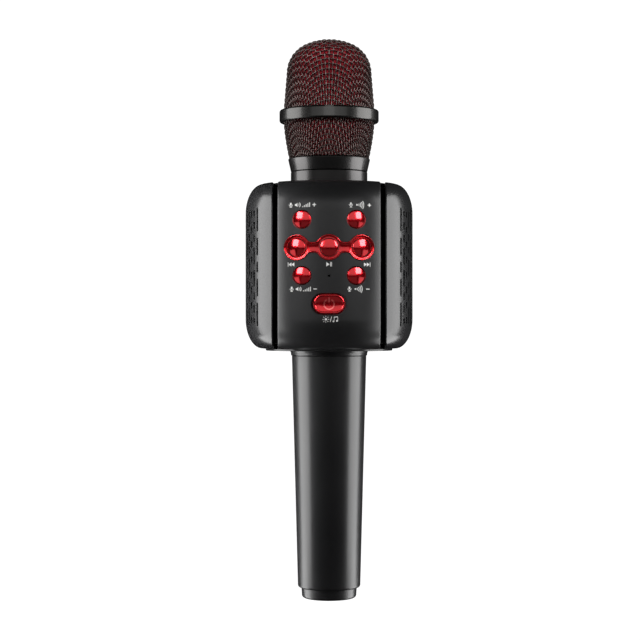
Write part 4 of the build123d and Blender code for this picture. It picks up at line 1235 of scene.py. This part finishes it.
# The bezel's section as (margin, rise) in millimetres, from its outer skirt over the rim to the floor.
bezel_levels = [
    (0.0, -0.66), (0.0, 0.2), (0.05, 0.34), (0.16, 0.45), (0.3, 0.5), (0.42, 0.48), (0.52, 0.4), (0.6, 0.26),
    (0.68, 0.1), (0.78, 0.03), (0.9, 0.0),
]
bezel_seat_radii = (4.35, 4.75, 4.9)
bezel_strips = 42


def media_bezel():
    """The lobed bezel: a raised rim, a sunken floor and a stepped round seat in each lobe."""
    rings = [flat_ring(lobed_outline(margin * MM), rise * MM) for margin, rise in bezel_levels]
    bezel = ring_piece("media_bezel_lobed", rings, "body", "red_gloss", bezel_red)
    verts, faces = [], []
    for x in (-media_x, 0, media_x):
        place = (Vector((x, 0, media_z)), X, Z, Y)
        hole, seat, mouth = (circle(r * MM, 72) for r in bezel_seat_radii)
        levels = [(hole, -2 * MM), (hole, -0.3 * MM), (seat, -0.3 * MM), (mouth, -0.02 * MM), (mouth, 2 * MM)]
        loft(levels, place, verts, faces)
    cut(bezel, loose_object("seats", verts, faces))
    bm = bmesh.new()
    bm.from_mesh(bezel.data)
    reach = media_x + bezel_lobe
    for k in range(1, bezel_strips):
        x = -reach + 2 * reach * k / bezel_strips
        everything = bm.verts[:] + bm.edges[:] + bm.faces[:]
        bmesh.ops.bisect_plane(bm, geom=everything, plane_co=(x, 0, 0), plane_no=(1, 0, 0), dist=1e-7)
    for vertex in bm.verts:
        vertex.co = drape((vertex.co.x, vertex.co.z), vertex.co.y)
    bmesh.ops.recalc_face_normals(bm, faces=bm.faces)
    bm.to_mesh(bezel.data)
    bm.free()
    bezel.data.shade_smooth()
    bezel.data.set_sharp_from_angle(angle=radians(40))
    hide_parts("media_bezel")


media_bezel()


# ---------------------------------------------------------------- printed marks
def mark(polygons, name, slot, material, body, centre, rise_at, thickness=0.03 * MM):
    """Thin raised shapes laid on the panel: each polygon is a list of (x, z) millimetres from a centre."""
    verts, faces = [], []
    for polygon in polygons:
        places = [Vector((centre[0] + x * MM, centre[1] + z * MM)) for x, z in polygon]
        rings = [[drape(p, rise_at(p.x, p.y) + lift) for p in places] for lift in (-thickness, thickness)]
        add_stack(rings, verts, faces)
    return piece_of(name, verts, faces, body, slot, material)


def bar(x0, z0, x1, z1, width):
    """A straight stroke between two places."""
    along = Vector((x1 - x0, z1 - z0)).normalized()
    side = Vector((-along.y, along.x)) * width / 2
    return [(x0 + side.x, z0 + side.y), (x0 - side.x, z0 - side.y),
            (x1 - side.x, z1 - side.y), (x1 + side.x, z1 + side.y)]


def arc_strokes(cx, cz, r, start, end, width, steps=10):
    """An arc stroke as short four-sided pieces that share their ends."""
    out = []
    for k in range(steps):
        a0, a1 = (radians(start + (end - start) * (k + t) / steps) for t in (0, 1))
        inner, outer = r - width / 2, r + width / 2
        out.append([
            (cx + inner * cos(a0), cz + inner * sin(a0)), (cx + outer * cos(a0), cz + outer * sin(a0)),
            (cx + outer * cos(a1), cz + outer * sin(a1)), (cx + inner * cos(a1), cz + inner * sin(a1)),
        ])
    return out


def disc(cx, cz, r, steps=16):
    return [(cx + r * cos(2 * pi * k / steps), cz + r * sin(2 * pi * k / steps)) for k in range(steps)]


def cross(cx, cz, size, width):
    h, w = size / 2, width / 2
    return [(cx + x, cz + z) for x, z in (
        (w, w), (w, h), (-w, h), (-w, w), (-h, w), (-h, -w),
        (-w, -w), (-w, -h), (w, -h), (w, -w), (h, -w), (h, w))]


def step_sign(cx, up, size=1.6, width=0.42):
    """A plus or a minus."""
    return [cross(cx, 0, size, width)] if up else [bar(cx - size / 2, 0, cx + size / 2, 0, width)]


def microphone_mark(cx):
    """A small microphone: a filled head, a cradle arc and a stand."""
    head = [(cx + x, z) for x, z in (
        (0.42, 0.1), (0.42, 0.8), (0.25, 1.1), (-0.25, 1.1),
        (-0.42, 0.8), (-0.42, 0.1), (-0.25, -0.16), (0.25, -0.16))]
    stand = [bar(cx, -0.6, cx, -0.95, 0.28), bar(cx - 0.55, -1.05, cx + 0.55, -1.05, 0.26)]
    return [head, *arc_strokes(cx, 0.2, 0.8, 180, 360, 0.26), *stand]


def speaker_mark(cx):
    """A loudspeaker with two waves."""
    body = [(cx - 1.1, -0.4), (cx - 0.55, -0.4), (cx + 0.1, -1.0),
            (cx + 0.1, 1.0), (cx - 0.55, 0.4), (cx - 1.1, 0.4)]
    near, far = (arc_strokes(cx + 0.1, 0, r, -50, 50, 0.28, steps) for r, steps in ((0.72, 6), (1.3, 8)))
    return [body, *near, *far]


def rising_bars(cx, count=5, gap=0.78):
    """Level bars that grow to the right."""
    out = []
    for k in range(count):
        x = cx + (k - (count - 1) / 2) * gap
        out.append(bar(x, -1.05, x, -1.05 + 2.1 * (k + 1) / count, 0.42))
    return out


def echo_mark(cx):
    """A source dot with waves that spread."""
    out = [disc(cx - 1.6, 0, 0.42)]
    for k in range(4):
        out += arc_strokes(cx - 1.6, 0, 0.95 + 0.72 * k, -34, 34, 0.32, 8)
    return out


def triangle(cx, half_height, length, way):
    back, tip = cx - way * length / 2, cx + way * length / 2
    return [(back, -half_height), (back, half_height), (tip, 0)]


def sun_mark(cx):
    angles = [pi / 4 * k for k in range(8)]
    rays = [bar(cx + 0.95 * cos(a), 0.95 * sin(a), cx + 1.6 * cos(a), 1.6 * sin(a), 0.2) for a in angles]
    return [disc(cx, 0, 0.55), *rays]


def note_mark(cx):
    """Two joined quavers."""
    heads = [disc(cx - 0.75, -0.92, 0.42), disc(cx + 0.85, -0.72, 0.42)]
    stems = [bar(cx - 0.42, -0.92, cx - 0.42, 1.05, 0.2), bar(cx + 1.18, -0.72, cx + 1.18, 1.25, 0.2)]
    return [*heads, *stems, bar(cx - 0.5, 0.98, cx + 1.26, 1.2, 0.42)]


def on_panel(x, z):
    """Printed marks follow the panel itself."""
    return 0.0


upper_marks_z = keys["mic_up_key"].z + 6.6 * MM
lower_marks_z = keys["mic_down_key"].z - 6.2 * MM
media_marks_z = media_z - 7.8 * MM
light_mark_z = power_z - 7.0 * MM


def volume_mark(up):
    return microphone_mark(-5.4) + speaker_mark(-2.4) + rising_bars(1.7) + step_sign(5.4, up)


def echo_level_mark(up):
    return microphone_mark(-4.2) + echo_mark(0.2) + step_sign(4.3, up)


def skip_mark(way):
    """Two triangles against a bar, pointing to the right (1) or the left (-1)."""
    stop = bar(way * 1.35, -1, way * 1.35, 1, 0.26)
    arrows = [triangle(way * x, 0.95, 1.3, way) for x in (-0.85, 0.45)]
    return [stop, *reversed(arrows)] if way < 0 else [*arrows, stop]


play_mark = [triangle(-0.55, 1.02, 1.5, 1), bar(0.6, -1, 0.6, 1, 0.3), bar(1.15, -1, 1.15, 1, 0.3)]
light_mark = sun_mark(-1.5) + [bar(0.45, -1.25, 1.15, 1.25, 0.24)] + note_mark(2.75)
printed = {
    "print_volume_up": (volume_mark(True), (-12.2 * MM, upper_marks_z)),
    "print_volume_down": (volume_mark(False), (-11.8 * MM, lower_marks_z)),
    "print_echo_up": (echo_level_mark(True), (14.2 * MM, upper_marks_z)),
    "print_echo_down": (echo_level_mark(False), (13.5 * MM, lower_marks_z)),
    "print_previous": (skip_mark(-1), (-17.5 * MM, media_marks_z)),
    "print_play": (play_mark, (0, media_marks_z)),
    "print_next": (skip_mark(1), (17.5 * MM, media_marks_z)),
    "print_light": (light_mark, (0, light_mark_z)),
}
print_pieces = [
    mark(polygons, name, None, print_white, "body", centre, on_panel)
    for name, (polygons, centre) in printed.items()
]

# The symbol's lighter red material is painted highlight on a real raised mark.
power_symbol = arc_strokes(0, 0, 2.3, 118, 422, 0.6, 30) + [bar(0, 0.9, 0, 3.1, 0.6)]
power_centre = (0, power_z - 0.1 * MM)
mark(power_symbol, "power_symbol", "red_gloss", symbol_red_painted_highlight, "power_key", power_centre, power_rise, 0.05 * MM)


# ---------------------------------------------------------------- rear screws
def cross_recess(place, size, width, depth, verts, faces):
    """A cross-shaped cutter that narrows downwards."""
    def outline(scale):
        return [Vector(p) for p in cross(0, 0, size * scale, width * scale)]
    loft([(outline(0.55), -depth), (outline(1), 0.05 * MM), (outline(1), 1 * MM)], place, verts, faces)


def pan_screws():
    """The rear cover's pan-head screws, with cross recesses."""
    head_r, head_h, shank_r = 2.3 * MM, 1.0 * MM, 1.05 * MM
    verts, faces, cut_verts, cut_faces = [], [], [], []
    for number, (azimuth, z) in enumerate(rear_screw_places):
        place = radial_place(azimuth, rear_seat, z)
        shank = circle(shank_r, 40)
        levels = [(shank, -5.5 * MM), (shank, 0), (circle(head_r, 40), 0), (circle(head_r, 40), head_h * 0.45)]
        for k in range(1, 6):
            a = pi / 2 * k / 6
            levels.append((circle(head_r * (0.72 + 0.28 * cos(a)), 40), head_h * (0.45 + 0.5 * sin(a))))
        levels.append((circle(head_r * 0.4, 40), head_h))
        loft(levels, place, verts, faces)
        origin, across, up, out = place
        turn = radians(17 + 31 * number)
        turned_across = across * cos(turn) + up * sin(turn)
        turned_up = up * cos(turn) - across * sin(turn)
        turned = (origin + out * head_h, turned_across, turned_up, out)
        cross_recess(turned, 2.6 * MM, 0.6 * MM, 0.7 * MM, cut_verts, cut_faces)
    screws = piece_of("rear_pan_screws", verts, faces, "body", "screw_steel", screw_steel)
    cut(screws, loose_object("recesses", cut_verts, cut_faces))
    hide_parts("rear_screws")


pan_screws()


# ---------------------------------------------------------------- which pieces each light reaches
# The polished red, the satin black, the turned metal and the net each get softboxes of their own,
# so that one finish can be lit without its highlights falling on the next.
def own_light(name, middle, azimuth, elevation, spread, rise, radiance, lit):
    """A softbox that only some pieces see, at an angle from their middle."""
    distance = 0.5
    a, e = radians(azimuth), radians(elevation)
    away = Vector((sin(a) * cos(e), -cos(a) * cos(e), sin(e)))
    size = [2 * distance * sin(radians(t)) / cos(radians(t)) for t in (spread, rise)]
    light = softbox(name, middle, away, distance, size, radiance)
    light.light_linking.receiver_collection = lit


def group_of(name, pieces):
    """A collection, outside the scene, that lights are linked to."""
    group = bpy.data.collections.new(name)
    for piece in pieces:
        group.objects.link(piece)
    return group


def pieces_in(*slots):
    """The pieces that take their finish from some slots."""
    return [obj for obj in scene.objects if obj.get("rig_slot") in slots]


key_middle = Vector((0, -barrel_radius, media_z))
head_middle = Vector((0, 0, (skirt_low + apex) / 2))
red_pieces = group_of("red_pieces", pieces_in("red_gloss"))
net_pieces = group_of("net_pieces", pieces_in("mesh_wire", "foam_red"))
satin_pieces = group_of("satin_pieces", pieces_in("body_black", "handle_black"))
turned_pieces = group_of("turned_pieces", pieces_in("neck_metal"))
ring_alone = group_of("ring_alone", [head_ring])
printed_pieces = group_of("printed_pieces", print_pieces)
studio_receivers = group_of("studio_receivers", pieces_in("mesh_wire", "foam_red", "red_gloss"))
# The side softboxes light everything but the net, the foam and the red pieces.
for entry in studio_receivers.collection_objects:
    entry.light_linking.link_state = "EXCLUDE"
for light in studio_sides:
    light.light_linking.receiver_collection = studio_receivers
for light in panel_glows:
    light.light_linking.receiver_collection = satin_pieces
own_light("ring_front", head_middle, 0, 8, 12, 14, 1.5, ring_alone)
own_light("ring_wide", head_middle, 0, 8, 40, 14, 0.6, ring_alone)
own_light("neck_front", head_middle, 0, 0, 45, 20, 0.2, turned_pieces)
for side, word in ((-1, "left"), (1, "right")):
    own_light(f"{word}_net_edge", head_middle, side * 75, 10, 16, 30, 1.5, net_pieces)
own_light("net_front", head_middle, 0, 33, 35, 18, 2.9, net_pieces)
for side, word in ((-1, "left"), (1, "right")):
    own_light(f"{word}_key_patch", key_middle, side * 51, 21, 14, 13, 13.0, red_pieces)
    own_light(f"{word}_key_haze", key_middle, side * 66, -20, 12, 14, 1.1, red_pieces)
own_light("print_front", key_middle, 0, 45, 20, 12, 9.0, printed_pieces)
own_light("key_upper_fill", key_middle, 0, 22, 34, 20, 0.95, red_pieces)
own_light("key_lower_fill", key_middle, 0, -27, 40, 19, 0.15, red_pieces)


# ---------------------------------------------------------------- pieces that keep their CAD shape
def paint(material, *names):
    for name in names:
        node = nodes[name]
        node.data.materials.clear()
        node.data.materials.append(material)


paint(battery_blue, "battery_cell")
paint(inner_plastic, "battery_cradle", "capsule_stand", "barrel_frame")
paint(inner_plastic, "left_speaker_surround", "right_speaker_surround")
paint(screw_steel, "collar_screws", "board_screws", "port_screws", "speaker_screws")
paint(rubber_black, "capsule_cushion")
paint(capsule_metal, "capsule")
paint(board_green, "light_board", "main_board", "port_board")
paint(lens_clear, "light_leds")
paint(lens_smoked, "status_light_pipe")
paint(chip_black, "board_parts", "key_switches", "aux_socket")
paint(socket_steel, "charging_socket")
paint(dust_cloth, "left_dust_cloth", "right_dust_cloth")
paint(basket_steel, "left_speaker_basket", "right_speaker_basket", "left_speaker_yoke", "right_speaker_yoke")
paint(ferrite, "left_speaker_magnet", "right_speaker_magnet")
paint(cone_paper, "left_speaker_cone", "right_speaker_cone")
paint(lead_red, "battery_lead", "head_leads", "speaker_leads", "port_lead")
